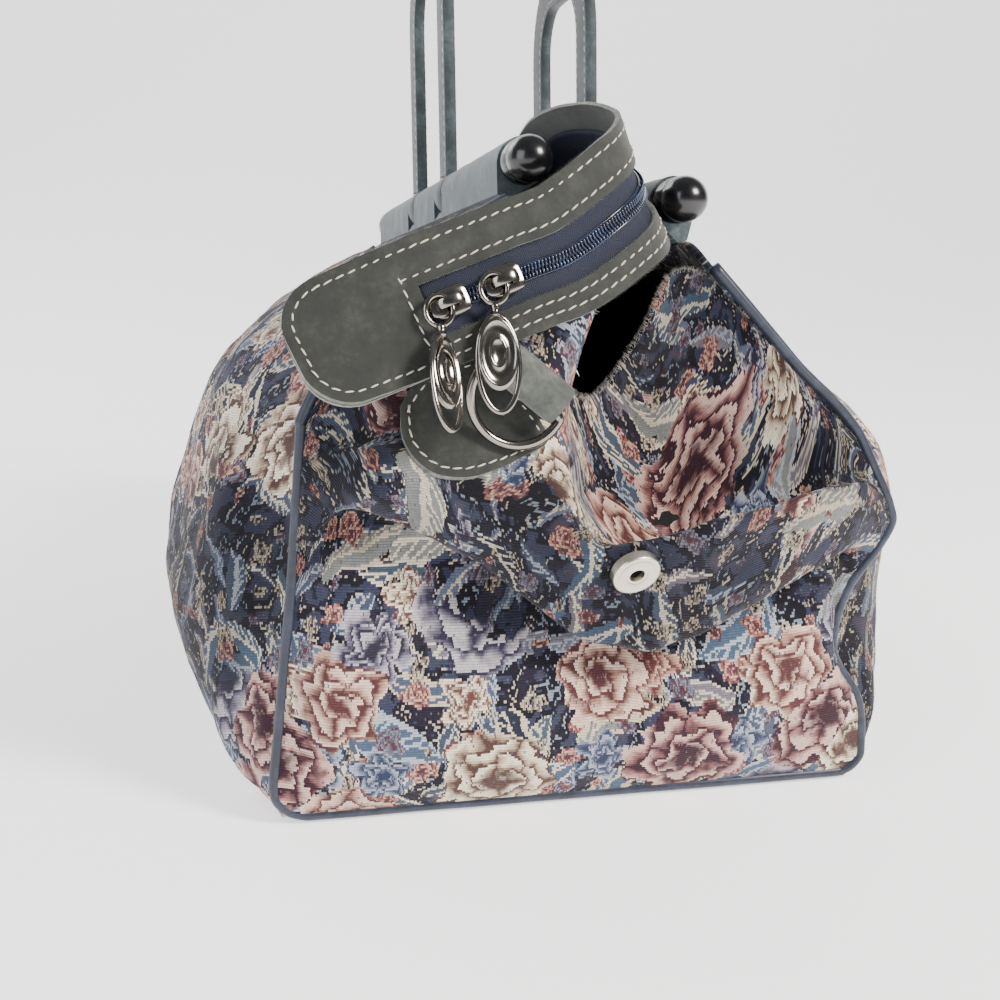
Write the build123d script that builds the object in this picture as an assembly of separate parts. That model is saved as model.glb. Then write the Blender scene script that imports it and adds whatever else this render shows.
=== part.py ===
"""Tapestry travel bag with a doctor-bag mouth, standing slumped on its base.

Frame: X across the bag, Y along it, Z up. The origin is the middle of the base on the floor.
The front end faces -Y. All sizes are in millimetres.
"""

from build123d import *
import math
import os

os.makedirs("parts", exist_ok=True)

# ---------------------------------------------------------------- driving dimensions
BODY_LENGTH = 380.0  # seam to seam
BASE_WIDTH = 216.0  # piping to piping at the floor
FABRIC = 2.5  # tapestry with its backing
LINING = 0.8
LINING_GAP = 0.8  # slack between the cloth and its lining
LINING_FOOT = 9.0  # where the side linings end above the base corner
CLEARANCE = 0.3  # running and seating gap
PIPING_RADIUS = 2.0
PIPING_CORNER = 10.0
BOARD_THICKNESS = 3.0
BASE_THICKNESS = 2.5

ROD_RADIUS = 6.0
ROD_SETBACK = 12.0  # from each end of the body to the rod's end
ROD_LENGTH = BODY_LENGTH - 2 * ROD_SETBACK
ROD_X = {"left": -19.7, "right": 34.1}
ROD_FRONT_Z = {"left": 224.0, "right": 211.0}
ROD_REAR_Z = {"left": 197.0, "right": 188.0}
CAP_RADIUS = 7.8
CAP_LENGTH = 12.0
CAP_OVERLAP = 6.0
SLEEVE_WALL = 2.3
SLEEVE_SETBACK = 7.0  # from the rod's end to the sleeve's end
SLEEVE_LENGTH = ROD_LENGTH - 2 * SLEEVE_SETBACK
SKIRT_THICKNESS = 1.5
SKIRT_DROP = 13.0

HANDLE_SPACING = 84.0  # between the two leg centres
HANDLE_HEIGHT = 118.0  # above the rod's axis
HANDLE_WIDTH = 18.0
HANDLE_THICKNESS = 5.0
HANDLE_OFFSET = 3.6  # outwards from the rod's axis
HANDLE_BEND = 30.0
LOOP_SLACK = 1.2

STRIP_WIDTH = 42.0
LEATHER = 1.8
BACKING = 1.6
WINDOW_WIDTH = 17.0
CHAIN_SHIFT = 2.4  # of the window and the zip from the strip's middle, to the lower edge in front
WINDOW_START = 43.5  # from the tab's end
TAPE_THICKNESS = 0.7
TAPE_GAP = 0.1  # under the leather
CHAIN_GAP = 0.3  # between the two tapes and the two coils
TAPE_REACH = 14.0
COIL_WIDTH = 6.0
COIL_HEIGHT = 2.0
STRIP_GAP = 0.8  # between the strip's edges and the sleeves that it rests over
TAB_CORNER = 15.0

SLIDER_LENGTH = 13.0
SLIDER_WIDTH = 9.6
SLIDER_PLATE = 1.4
SLIDER_CORNER = 3.0
CROWN_CORNER = 2.0
CROWN_WIDTH = 2.6
CROWN_HEIGHT = 3.2
CROWN_THICKNESS = 1.3
CROWN_SPAN = 9.5
CROWN_FOOT = 1.5  # length of each of the crown's feet
FLANK_SETBACK = 3.0  # from the plate's ends to the flanks'
LOWER_SLIDER_AT = 50.0  # from the tab's end
UPPER_SLIDER_AT = 68.5

PULL_EYE = 5.4
PULL_WIRE = 1.8
PULL_FRAME = (7.4, 15.7)
PULL_PLATE = (6.6, 11.6)
PULL_NECK = 3.0
PULL_DROP = 1.5  # from the crown's foot to the eye's centre
PULL_TWIST = {"lower": 50.0, "upper": 0.0}
PULL_LEAN = {"lower": 11.0, "upper": 0.0}  # away from the strip's face

RING_WIDTH = 34.0
RING_DEPTH = 22.0
RING_WIRE = 1.6
RING_HOLE = 2.0
LOOP_WIDTH = 25.0
LOOP_THICKNESS = 8.0
LOOP_REACH = 10.0
LOOP_FOOT = {"front": 3.4, "rear": 0.0}  # how far the folded plies stand down to the patch
PATCH_THICKNESS = 2.0

SNAP_RADIUS = 8.3
SNAP_HEIGHT = 4.0
SNAP_HOLE = 2.6
STUD_NOSE = 2.3

# ---------------------------------------------------------------- body shape
HALF = BODY_LENGTH / 2
SEAM_DEPTH = HALF + 0.4  # outer face of the end panels at their seams
SEAM_X = BASE_WIDTH / 2
PANEL_END = HALF - PIPING_RADIUS - 0.4
BULGE_END = HALF - 40.0  # the stations where the sides start to draw in to the end panels
TOP_GAP = (8.9, -6.2)  # from a rod's axis to the panel's top edge, outwards and up

# Outer outline of each side panel at stations along Y, from base corner to shoulder: outwards as a
# share of the half width, then up. The last point, beside the rod, follows the rod.
LEFT_OUTLINE = {
    -PANEL_END: [(1.0231, 0.4), (1.0, 25.0), (0.9676, 80.0), (0.9074, 141.0), (0.5926, 192.0)],
    -BULGE_END: [(1.0231, 0.4), (1.2037, 18.0), (1.2963, 60.0), (1.1852, 132.0), (0.6944, 193.0)],
    0.0: [(1.0231, 0.4), (1.2407, 18.0), (1.3333, 58.0), (1.1759, 130.0), (0.6852, 182.0)],
    BULGE_END: [(1.0231, 0.4), (1.2222, 18.0), (1.287, 55.0), (1.0926, 124.0), (0.6111, 171.0)],
    PANEL_END: [(1.0231, 0.4), (1.0046, 25.0), (0.9815, 70.0), (0.9167, 120.0), (0.6296, 168.0)],
}
RIGHT_OUTLINE = {
    -PANEL_END: [(1.0231, 0.4), (1.0093, 25.0), (1.0231, 60.0), (1.0417, 97.0), (0.7037, 156.0)],
    -BULGE_END: [(1.0231, 0.4), (1.1481, 18.0), (1.2222, 62.0), (1.1667, 124.0), (0.7778, 170.0)],
    0.0: [(1.0231, 0.4), (1.2222, 18.0), (1.3056, 58.0), (1.1574, 126.0), (0.7593, 168.0)],
    BULGE_END: [(1.0231, 0.4), (1.213, 18.0), (1.2778, 55.0), (1.0926, 118.0), (0.7222, 158.0)],
    PANEL_END: [(1.0231, 0.4), (1.0093, 25.0), (0.9907, 70.0), (0.9352, 112.0), (0.6852, 152.0)],
}

# Front end panel, one row per column of cloth: X at the base and at the top as shares of the half
# width, the base's Z, then how far out from the seam the belly is, and out and Z of the crease, the
# crest, the shelf, the lobe and the top. The cloth bellies out, folds into a lip and opens into a bowl.
FRONT_COLUMNS = [
    (-0.9648, -0.8704, 12.0, 5.0, (6.0, 116), (11.0, 124), (7.0, 130), (3.0, 134), (0.4, 138)),
    (-0.7963, -0.5926, 4.9, 13.0, (11.0, 90), (22.0, 112), (16.0, 128), (16.0, 152), (0.0, 184)),
    (-0.4815, -0.3704, 4.9, 15.0, (11.0, 82), (26.0, 107), (17.0, 124), (17.0, 150), (-1.0, 196)),
    (-0.2222, -0.1759, 4.9, 15.0, (12.0, 72), (29.0, 104), (16.0, 122), (16.0, 148), (-2.0, 166)),
    (0.0, 0.0278, 4.9, 15.0, (13.0, 62), (32.0, 101), (0.0, 108), (-7.0, 128), (-6.0, 148)),
    (0.2593, 0.25, 4.9, 15.0, (13.0, 60), (32.0, 106), (-4.0, 112), (-10.0, 142), (-4.0, 182)),
    (0.537, 0.5185, 4.9, 15.0, (12.0, 70), (29.0, 113), (0.0, 122), (-2.0, 146), (-1.0, 169)),
    (0.7963, 0.7778, 4.9, 13.0, (9.0, 82), (20.0, 114), (6.0, 124), (2.0, 133), (0.4, 141)),
    (0.9667, 1.0, 12.0, 5.0, (4.0, 84), (9.0, 90), (5.0, 94), (2.0, 97), (0.4, 100)),
]
BELLY_Z = 36.0

# Rear end panel, laid out the same way: base and top X, base Z, belly out, middle and top out and Z.
REAR_COLUMNS = [
    (-0.9648, -0.8935, 12.0, 4.0, (3.0, 80), (0.4, 116)),
    (-0.6481, -0.5741, 4.9, 5.0, (3.0, 100), (0.4, 166)),
    (-0.2778, -0.2593, 4.9, 5.0, (3.0, 105), (0.4, 176)),
    (0.2778, 0.3333, 4.9, 5.0, (3.0, 105), (0.4, 170)),
    (0.6481, 0.6296, 4.9, 5.0, (3.0, 95), (0.4, 150)),
    (0.9667, 0.9167, 12.0, 4.0, (3.0, 78), (0.4, 108)),
]

# Piping round each end panel, from the left rod to the right rod: X as a share of the half width, Z.
# The first and last corners stay beside the rods.
PIPING_Z = 4.0 - PIPING_RADIUS + 0.4
FRONT_PIPING = [(-0.3056, 208.0), (-0.5741, 192.0), (-0.9028, 141.0), (-1.0, PIPING_Z),
                (1.0, PIPING_Z), (1.0278, 98.0), (0.9074, 131.0), (0.3981, 189.0)]
REAR_PIPING = [(-0.3056, 184.0), (-0.6111, 168.0), (-0.9167, 120.0), (-1.0, PIPING_Z),
               (1.0, PIPING_Z), (0.9444, 112.0), (0.6852, 152.0), (0.4352, 172.0)]
PIPING_BENDS = [14.0, 28.0, PIPING_CORNER, PIPING_CORNER, 26.0, 26.0]

# Zip strip, from the front tab's end over the mouth to the rear tab's end: centre, outward face.
TAIL_START = Vector(-101.0, -HALF - 38.0, 165.5)
TAIL_END = Vector(-14.0, -HALF - 26.0, 197.0)
TAIL_FACE = Vector(0.04, -0.966, 0.257)
TAIL_LENGTH = (TAIL_END - TAIL_START).length
FRONT_BEND = [
    (Vector(4.0, -HALF - 20.5, 208.5), Vector(0.33, -0.86, 0.36)),
    (Vector(13.5, -HALF - 11.0, 215.5), Vector(0.74, -0.56, 0.36)),
    (Vector(16.0, -HALF + 3.0, 221.0), Vector(0.91, -0.10, 0.38)),
    (Vector(12.0, -HALF + 22.0, 226.0), Vector(0.85, 0.0, 0.52)),
    (Vector(8.5, -HALF + 50.0, 229.0), Vector(0.50, 0.0, 0.87)),
]
RUN_START = -HALF + 85.0
RUN_END = HALF - 22.0
REAR_DROP = 112.0
REAR_FACE_Y = HALF + 15.0
# How the strip turns down behind the mouth: Y from the seam, drop from the run's end, outward face.
REAR_BEND = [(0.0, 4.0, Vector(0.12, 0.45, 0.88)), (12.0, 16.0, Vector(0.05, 0.9, 0.43))]
REAR_STRAIGHT = 34.0  # the drop where the strip's rear length hangs straight
REAR_SHIFT = -1.0  # of the hanging length along X

# Strap ring on the front end panel: bar centre, bar direction, outward face of the patch.
RING_CENTRE = Vector(-28.0, -HALF - 26.0, 152.5)
RING_BAR = Vector(0.77, 0.0, -0.64)
RING_FACE = Vector(0.0, -1.0, 0.0)
REAR_RING_X = 4.0
REAR_RING_Z = 152.0

FRONT_SNAP = (Vector(8.0, -HALF - 33.2, 91.0), Vector(0.12, -0.85, -0.51))
STUD_AT = 20.0  # from the tab's end


# ---------------------------------------------------------------- helpers
def lerp(low, high, share):
    """A value the given share of the way from low to high."""
    return low + (high - low) * share


def offset_line(points, distance):
    """An open 2-D polyline moved sideways, to the left of its direction, by a distance."""
    normals = []
    for (x0, z0), (x1, z1) in zip(points, points[1:]):
        length = math.hypot(x1 - x0, z1 - z0)
        normals.append(((z0 - z1) / length, (x1 - x0) / length))
    moved = []
    for index, (x, z) in enumerate(points):
        before = normals[max(index - 1, 0)]
        after = normals[min(index, len(normals) - 1)]
        nx, nz = before[0] + after[0], before[1] + after[1]
        scale = 2 / (nx * nx + nz * nz)
        moved.append((x + nx * scale * distance, z + nz * scale * distance))
    return moved


def shell_loop(line, near, far):
    """The closed 2-D outline between two offsets of an open line."""
    return offset_line(line, near) + offset_line(line, far)[::-1]


def ruled(sections):
    """A solid through closed polygons that all have the same number of corners."""
    wires = [Wire.make_polygon([Vector(*point) for point in section]) for section in sections]
    return Solid.make_loft(wires, ruled=True)


def rod_z(side, y):
    """Height of a rod's axis at a station along the bag."""
    return lerp(ROD_FRONT_Z[side], ROD_REAR_Z[side], (y + ROD_LENGTH / 2) / ROD_LENGTH)


def rod_plane(side):
    """Plane at a rod's middle whose local Y runs along the rod and local Z is up."""
    drop = ROD_FRONT_Z[side] - ROD_REAR_Z[side]
    middle = Vector(ROD_X[side], 0, rod_z(side, 0))
    return Plane(origin=middle, x_dir=(1, 0, 0), z_dir=(0, drop, ROD_LENGTH))


def along(radius, length, centre=0.0):
    """A cylinder along local Y."""
    return Pos(0, centre, 0) * Cylinder(radius, length, rotation=(90, 0, 0))


# ---------------------------------------------------------------- cloth body
def outline(side, station):
    """A side panel's outer line at a station, from the base corner up to the rod, in X and Z."""
    table = LEFT_OUTLINE if side == "left" else RIGHT_OUTLINE
    sign = -1 if side == "left" else 1
    line = [(sign * share * SEAM_X, up) for share, up in table[station]]
    top = (ROD_X[side] + sign * TOP_GAP[0], rod_z(side, station) + TOP_GAP[1])
    return line + [top]


def outline_at(side, y):
    """A side panel's outer line at any Y, between the two nearest stations."""
    stations = list(LEFT_OUTLINE)
    index = max(i for i, station in enumerate(stations[:-1]) if station <= y)
    share = (y - stations[index]) / (stations[index + 1] - stations[index])
    pairs = zip(outline(side, stations[index]), outline(side, stations[index + 1]))
    return [(lerp(a[0], b[0], share), lerp(a[1], b[1], share)) for a, b in pairs]


def side_skin(side, near, far, end_gap=0.0, foot=0.0):
    """A side panel's skin between two depths inside its outer face; foot lifts its lower edge."""
    turn = -1 if side == "left" else 1
    sections = []
    for station in LEFT_OUTLINE:
        y = math.copysign(abs(station) - end_gap, station) if abs(station) == PANEL_END else station
        line = outline_at(side, y)
        share = foot / (line[1][1] - line[0][1])
        line[0] = (lerp(line[0][0], line[1][0], share), line[0][1] + foot)
        sections.append([(x, y, z) for x, z in shell_loop(line, turn * near, turn * far)])
    return ruled(sections)


def column(base_share, top_share, line, sign):
    """One column of an end panel as X, Y, Z points, from its out and Z pairs."""
    (_, base_z), (_, top_z) = line[0], line[-1]
    shares = [lerp(base_share, top_share, (z - base_z) / (top_z - base_z)) for _, z in line]
    return [(share * SEAM_X, sign * (HALF + out), z) for share, (out, z) in zip(shares, line)]


def front_lines():
    """The front end panel's columns as lists of X, Y, Z points from base to top."""
    columns = []
    for base_x, top_x, base_z, belly, crease, crest, shelf, lobe, top in FRONT_COLUMNS:
        line = [(SEAM_DEPTH - HALF, base_z), (belly, BELLY_Z), crease, crest, shelf, lobe, top]
        columns.append(column(base_x, top_x, line, -1))
    return columns


def rear_lines():
    """The rear end panel's columns, laid out like the front's."""
    columns = []
    for base_x, top_x, base_z, belly, middle, top in REAR_COLUMNS:
        line = [(SEAM_DEPTH - HALF, base_z), (belly, BELLY_Z), middle, top]
        columns.append(column(base_x, top_x, line, 1))
    return columns


def end_skin(columns, near, far, inset=0.0):
    """An end panel's skin between two depths inside its outer face; inset draws its rim in."""
    sign = -1 if columns[0][0][1] < 0 else 1
    sections = []
    for index, column in enumerate(columns):
        flat = [(y, z) for _, y, z in column]
        flat[0] = (flat[0][0], flat[0][1] + inset)
        flat[-1] = (flat[-1][0], flat[-1][1] - inset)
        loop = shell_loop(flat, sign * near, sign * far)
        (x0, _, z0), (x1, _, z1) = column[0], column[-1]
        slope = (x1 - x0) / (z1 - z0)
        shift = inset if index == 0 else -inset if index == len(columns) - 1 else 0.0
        sections.append([(x0 + slope * (z - z0) + shift, y, z) for y, z in loop])
    return ruled(sections)


def piping(corners, y):
    """The cord-filled edging round one end panel."""
    path = FilletPolyline(*[(share * SEAM_X, y, z) for share, z in corners], radius=PIPING_BENDS)
    return sweep(Plane(origin=path @ 0, z_dir=path % 0) * Circle(PIPING_RADIUS), path=path)


def base_plate(bottom, thickness, margin):
    """A flat rectangle inside the base seams."""
    width = BASE_WIDTH + 1.0 - 2 * margin
    length = 2 * PANEL_END - 2 * margin
    return Pos(0, 0, bottom + thickness / 2) * Box(width, length, thickness)


# ---------------------------------------------------------------- mouth rods
def rod(side):
    """One stiff rod of the mouth."""
    return rod_plane(side).location * along(ROD_RADIUS, ROD_LENGTH)


def rod_cap(side, end):
    """The domed cap pushed on a rod's end."""
    sign = -1 if end == "front" else 1
    start = ROD_LENGTH / 2 - CAP_OVERLAP
    barrel = along(CAP_RADIUS, CAP_LENGTH, sign * (start + CAP_LENGTH / 2))
    dome = Pos(0, sign * (start + CAP_LENGTH), 0) * Sphere(CAP_RADIUS)
    depth = CAP_OVERLAP + CLEARANCE
    bore = along(ROD_RADIUS + CLEARANCE / 2, depth, sign * (start + depth / 2))
    return rod_plane(side).location * (barrel + dome - bore)


def sleeve(side):
    """The leather tube round a rod, open where the handle is looped on, with its sewn skirt."""
    outer = ROD_RADIUS + CLEARANCE + SLEEVE_WALL
    tube = rod_plane(side).location * along(outer, SLEEVE_LENGTH)
    sign = -1 if side == "left" else 1
    sections = []
    for station in (-SLEEVE_LENGTH / 2, -BULGE_END, 0.0, BULGE_END, SLEEVE_LENGTH / 2):
        shoulder, top = outline_at(side, station)[-2:]
        length = math.hypot(shoulder[0] - top[0], shoulder[1] - top[1])
        down = lerp(top[0], shoulder[0], SKIRT_DROP / length), lerp(top[1], shoulder[1], SKIRT_DROP / length)
        lifted = offset_line([down, top], sign * -CLEARANCE)
        raised = offset_line([down, top], sign * -(CLEARANCE + SKIRT_THICKNESS))
        anchor = (ROD_X[side] + sign * ROD_RADIUS * 1.2, rod_z(side, station))
        loop = lifted + [(anchor[0] - sign * 0.4, anchor[1] - SKIRT_THICKNESS), anchor] + raised[::-1]
        sections.append([(x, station, z) for x, z in loop])
    body = tube + ruled(sections)
    body -= rod_plane(side).location * along(ROD_RADIUS + CLEARANCE, SLEEVE_LENGTH + 2)
    for place in (-HANDLE_SPACING / 2, HANDLE_SPACING / 2):
        gap = along(outer + CLEARANCE + 0.7, HANDLE_WIDTH + 2 * LOOP_SLACK, place)
        body -= rod_plane(side).location * gap
    return body


def handle(side):
    """A flat leather carrying handle whose two ends are looped round the rod."""
    sign = -1 if side == "left" else 1
    half = HANDLE_SPACING / 2
    straight = HANDLE_HEIGHT - HANDLE_WIDTH / 2
    corners = [(0, -half, 0), (0, -half, straight), (0, half, straight), (0, half, 0)]
    route = FilletPolyline(*corners, radius=HANDLE_BEND)
    band = Plane(origin=(0, -half, 0), x_dir=(1, 0, 0), z_dir=(0, 0, 1))
    strap = sweep(band * Rectangle(HANDLE_THICKNESS, HANDLE_WIDTH), path=route)
    body = Pos(sign * HANDLE_OFFSET, 0, 0) * strap
    outer = ROD_RADIUS + CLEARANCE + SLEEVE_WALL
    for place in (-half, half):
        body += along(outer, HANDLE_WIDTH, place)
        body -= along(ROD_RADIUS + CLEARANCE, HANDLE_WIDTH + 2, place)
    keep = Pos(0, 0, HANDLE_HEIGHT / 2) * Box(60, HANDLE_SPACING + 60, HANDLE_HEIGHT + 60)
    return rod_plane(side).location * (body & keep)


# ---------------------------------------------------------------- zip strip
def strip_lift(spread):
    """Height of the strip's face over the line between the rods, so that it rests on the sleeves."""
    outer = ROD_RADIUS + CLEARANCE + SLEEVE_WALL
    reach = max(spread / 2 - STRIP_WIDTH / 2, 0.0)
    return math.sqrt(max(outer**2 - reach**2, 0.0)) + LEATHER + STRIP_GAP


def strip_stations():
    """Centre and outward face of the strip, from the front tab's end to the rear tab's end."""
    stations = [(TAIL_START + (TAIL_END - TAIL_START) * share, TAIL_FACE)
                for share in (0.0, WINDOW_START / TAIL_LENGTH, 1.0)]
    stations += FRONT_BEND
    for y in (RUN_START, 0.0, RUN_END):
        left, right = (Vector(ROD_X[side], y, rod_z(side, y)) for side in ("left", "right"))
        tilt = Vector(left.Z - right.Z, 0, right.X - left.X).normalized()
        middle = (left + right) / 2
        stations.append((middle + tilt * strip_lift((right - left).length), tilt))
    top = stations[-1][0]
    for out, drop, face in REAR_BEND:
        shift = REAR_SHIFT if out else 0.0
        stations.append((Vector(top.X + shift, HALF + out, top.Z - drop), face))
    tab_z = top.Z - REAR_BEND[-1][1] - REAR_DROP
    for z in (top.Z - REAR_STRAIGHT, tab_z + WINDOW_START, tab_z):
        stations.append((Vector(top.X + REAR_SHIFT, REAR_FACE_Y, z), Vector(0, 1, 0)))
    return stations


def strip_frames():
    """Each station as centre, tangent, width direction and face normal."""
    stations = strip_stations()
    smooth = stations[:2]
    for before, start, end, after in zip(stations[1:], stations[2:], stations[3:], stations[4:]):
        for share in (0.0, 1 / 3, 2 / 3):
            centre = (start[0] * 2 + (end[0] - before[0]) * share
                      + (before[0] * 2 - start[0] * 5 + end[0] * 4 - after[0]) * share**2
                      + (start[0] * 3 - before[0] - end[0] * 3 + after[0]) * share**3) / 2
            smooth.append((centre, start[1] + (end[1] - start[1]) * share))
    smooth += stations[-2:]
    frames = []
    for index, (centre, face) in enumerate(smooth):
        ahead = smooth[min(index + 1, len(smooth) - 1)][0]
        behind = smooth[max(index - 1, 0)][0]
        tangent = (ahead - behind).normalized()
        if index <= 2:
            tangent = (TAIL_END - TAIL_START).normalized()
        width = tangent.cross(face).normalized()
        frames.append((centre, tangent, width, width.cross(tangent).normalized()))
    return frames


FRAMES = strip_frames()
FACE = FRAMES[0][3]  # outward face of the front tail
FIRST, LAST = 1, len(FRAMES) - 2  # the frames where the window starts and ends


def ribbon(first, last, low, high, bottom, top):
    """A ruled length of the strip between two frames, two widths and two heights off its face."""
    sections = []
    for centre, _, width, face in FRAMES[first:last + 1]:
        corners = [(low, bottom), (high, bottom), (high, top), (low, top)]
        sections.append([tuple(centre + width * w + face * h) for w, h in corners])
    return ruled(sections)


def tab_end(frame, thickness_top, thickness_bottom, length, sign):
    """A flat rounded tab that ends the strip beyond a frame."""
    centre, tangent, width, face = frame
    plane = Plane(origin=centre + face * thickness_bottom, x_dir=tangent * sign, z_dir=face)
    half = STRIP_WIDTH / 2
    shape = Pos(length / 2, 0) * Rectangle(length, 2 * half)
    corners = shape.vertices().sort_by(Axis.X)[-2:]
    rounded = fillet(corners, TAB_CORNER)
    return extrude(plane * rounded, thickness_top - thickness_bottom)


def zip_leather():
    """The one-piece leather facing with the long window for the zip."""
    half, hole = STRIP_WIDTH / 2, WINDOW_WIDTH / 2
    body = ribbon(FIRST, LAST, -half, CHAIN_SHIFT - hole, -LEATHER, 0)
    body += ribbon(FIRST, LAST, CHAIN_SHIFT + hole, half, -LEATHER, 0)
    body += tab_end(FRAMES[FIRST], 0, -LEATHER, WINDOW_START, -1)
    return body + tab_end(FRAMES[LAST], 0, -LEATHER, WINDOW_START, 1)


def zip_tape(sign):
    """One woven tape, sewn under the leather, from window end to window end."""
    top = -LEATHER - TAPE_GAP
    low, high = sorted((CHAIN_SHIFT + sign * CHAIN_GAP / 2, CHAIN_SHIFT + sign * TAPE_REACH))
    return ribbon(FIRST, LAST, low, high, top - TAPE_THICKNESS, top)


def zip_coil(sign):
    """One half of the closed coil, running under both sliders from window end to window end."""
    bottom = -LEATHER
    low, high = sorted((CHAIN_SHIFT + sign * CHAIN_GAP / 2, CHAIN_SHIFT + sign * COIL_WIDTH / 2))
    return ribbon(FIRST, LAST, low, high, bottom, bottom + COIL_HEIGHT)


def tab_backing(end):
    """The second leather layer behind a tab."""
    top = -LEATHER - TAPE_GAP - TAPE_THICKNESS - CLEARANCE
    frame, sign = (FRAMES[FIRST], -1) if end == "front" else (FRAMES[LAST], 1)
    return tab_end(frame, top, top - BACKING, WINDOW_START, sign)


def tail_plane(at, height=0.0, across=0.0):
    """Plane on the front tail, local X along the strip, local Y across and local Z out of it."""
    centre, tangent, width, face = FRAMES[0]
    origin = centre + tangent * at + width * across + face * height
    return Plane(origin=origin, x_dir=tangent, z_dir=face)


def slider(at):
    """A zip slider: a plate with turned-down flanks over the coil, and a crown for its pull."""
    flank = COIL_HEIGHT + CLEARANCE
    plate_bottom = flank + CLEARANCE
    plate = Pos(0, 0, plate_bottom + SLIDER_PLATE / 2) * Box(SLIDER_LENGTH, SLIDER_WIDTH, SLIDER_PLATE)
    plate = fillet(plate.edges().filter_by(Axis.Z), SLIDER_CORNER)
    inner = COIL_WIDTH / 2 + CLEARANCE
    for side in (-1, 1):
        wide = SLIDER_WIDTH / 2 - inner
        cheek = Box(SLIDER_LENGTH - 2 * FLANK_SETBACK, wide, flank)
        plate += Pos(0, side * (inner + wide / 2), CLEARANCE + flank / 2) * cheek
    top = plate_bottom + SLIDER_PLATE
    outer = Pos(0, 0, top + (CROWN_HEIGHT + CROWN_THICKNESS) / 2) * Box(
        CROWN_SPAN, CROWN_WIDTH, CROWN_HEIGHT + CROWN_THICKNESS)
    outer = fillet(outer.edges().filter_by(Axis.Y).sort_by(Axis.Z)[-2:], CROWN_CORNER)
    inside = Pos(0, 0, top + CROWN_HEIGHT / 2) * Box(CROWN_SPAN - 2 * CROWN_FOOT, CROWN_WIDTH + 1, CROWN_HEIGHT)
    return tail_plane(at, -LEATHER - TAPE_GAP, CHAIN_SHIFT).location * (plate + (outer - inside))


def pull_pivot(at):
    """The crown's foot on the tab side, which a pull's eye goes round."""
    top = COIL_HEIGHT + 2 * CLEARANCE + SLIDER_PLATE - LEATHER - TAPE_GAP
    foot = tail_plane(at, top + CROWN_HEIGHT / 2, CHAIN_SHIFT)
    return foot.origin - foot.x_dir * (CROWN_SPAN - CROWN_FOOT) / 2


def pull(at, name):
    """A cast pull: an eye, a neck and an oval frame that holds a plain oval plate."""
    eye = Pos(0, 0, -PULL_DROP) * Torus(PULL_EYE - PULL_WIRE / 2, PULL_WIRE / 2, rotation=(90, 0, 0))
    bottom = -(PULL_EYE + PULL_DROP)
    drop = bottom - PULL_NECK - PULL_FRAME[1] + 1.0
    wide, tall = PULL_FRAME
    flat = Plane.XZ
    outline_ring = Ellipse(wide, tall) - Ellipse(wide - PULL_WIRE, tall - PULL_WIRE)
    frame = extrude(flat * outline_ring, PULL_WIRE / 2, both=True)
    lift = tall - PULL_PLATE[1] - 0.8
    plate = extrude(flat * Pos(0, lift) * Ellipse(*PULL_PLATE), 0.6, both=True)
    body = Rot(0, 0, PULL_TWIST[name]) * (frame + plate)
    neck = Pos(0, 0, bottom - PULL_NECK / 2 + 0.4) * Cylinder(1.4, PULL_NECK + 2.0)
    up = Vector(0, 0, 1)
    along_face = (up - FACE * up.dot(FACE)).normalized()
    hang = Plane(origin=pull_pivot(at), x_dir=FACE.cross(along_face) * -1, z_dir=along_face)
    return hang.location * (eye + Rot(-PULL_LEAN[name], 0, 0) * (neck + Pos(0, 0, drop) * body))


# ---------------------------------------------------------------- strap rings and snaps
def ring_plane(end):
    """Local X along the ring's bar, local Y away from the ring, local Z out of the panel."""
    if end == "front":
        return Plane(origin=RING_CENTRE, x_dir=RING_BAR, z_dir=RING_FACE)
    (_, y0, z0), (_, y1, z1) = rear_lines()[2][-2:]
    face = Vector(0, z1 - z0, y0 - y1).normalized()
    seat = Vector(REAR_RING_X, lerp(y0, y1, (REAR_RING_Z - z0) / (z1 - z0)), REAR_RING_Z)
    lift = PATCH_THICKNESS + 2 * CLEARANCE + LOOP_THICKNESS / 2
    return Plane(origin=seat + face * lift, x_dir=(-1, 0, 0), z_dir=face)


def strap_ring(end):
    """A D-shaped wire ring: a straight bar, two short arms and a round bow."""
    half = RING_WIDTH / 2 - RING_WIRE
    depth = RING_DEPTH - 2 * RING_WIRE
    bow = depth - 4.0
    arc = ThreePointArc((-half, -4.0), (0, -4.0 - bow), (half, -4.0))
    pieces = Rot(0, 90, 0) * Cylinder(RING_WIRE, 2 * half)
    for sign in (-1, 1):
        pieces += Pos(sign * half, 0, 0) * Sphere(RING_WIRE)
        pieces += Pos(sign * half, -2.0, 0) * Cylinder(RING_WIRE, 4.0, rotation=(90, 0, 0))
    section = Plane(origin=arc @ 0, z_dir=arc % 0) * Circle(RING_WIRE)
    pieces += sweep(section, path=arc)
    return ring_plane(end).location * pieces


def strap_loop(end):
    """The folded leather strap round a ring's bar."""
    round_end = Rot(0, 90, 0) * Cylinder(LOOP_THICKNESS / 2, LOOP_WIDTH)
    foot = LOOP_FOOT[end]
    tail = Pos(0, LOOP_REACH / 2, -foot / 2) * Box(LOOP_WIDTH, LOOP_REACH, LOOP_THICKNESS + foot)
    hole = Rot(0, 90, 0) * Cylinder(RING_HOLE, LOOP_WIDTH + 2)
    return ring_plane(end).location * (round_end + tail - hole)


def front_patch():
    """The leather reinforcement under the front ring, lying on the cloth."""
    sections = []
    for column in front_lines()[1:4]:
        flat = [(y, z) for _, y, z in column[4:6]]
        loop = shell_loop(flat, PATCH_THICKNESS + CLEARANCE, CLEARANCE)
        (x0, _, z0), (x1, _, z1) = column[0], column[-1]
        slope = (x1 - x0) / (z1 - z0)
        sections.append([(x0 + slope * (z - z0), y, z) for y, z in loop])
    return ruled(sections)


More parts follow.
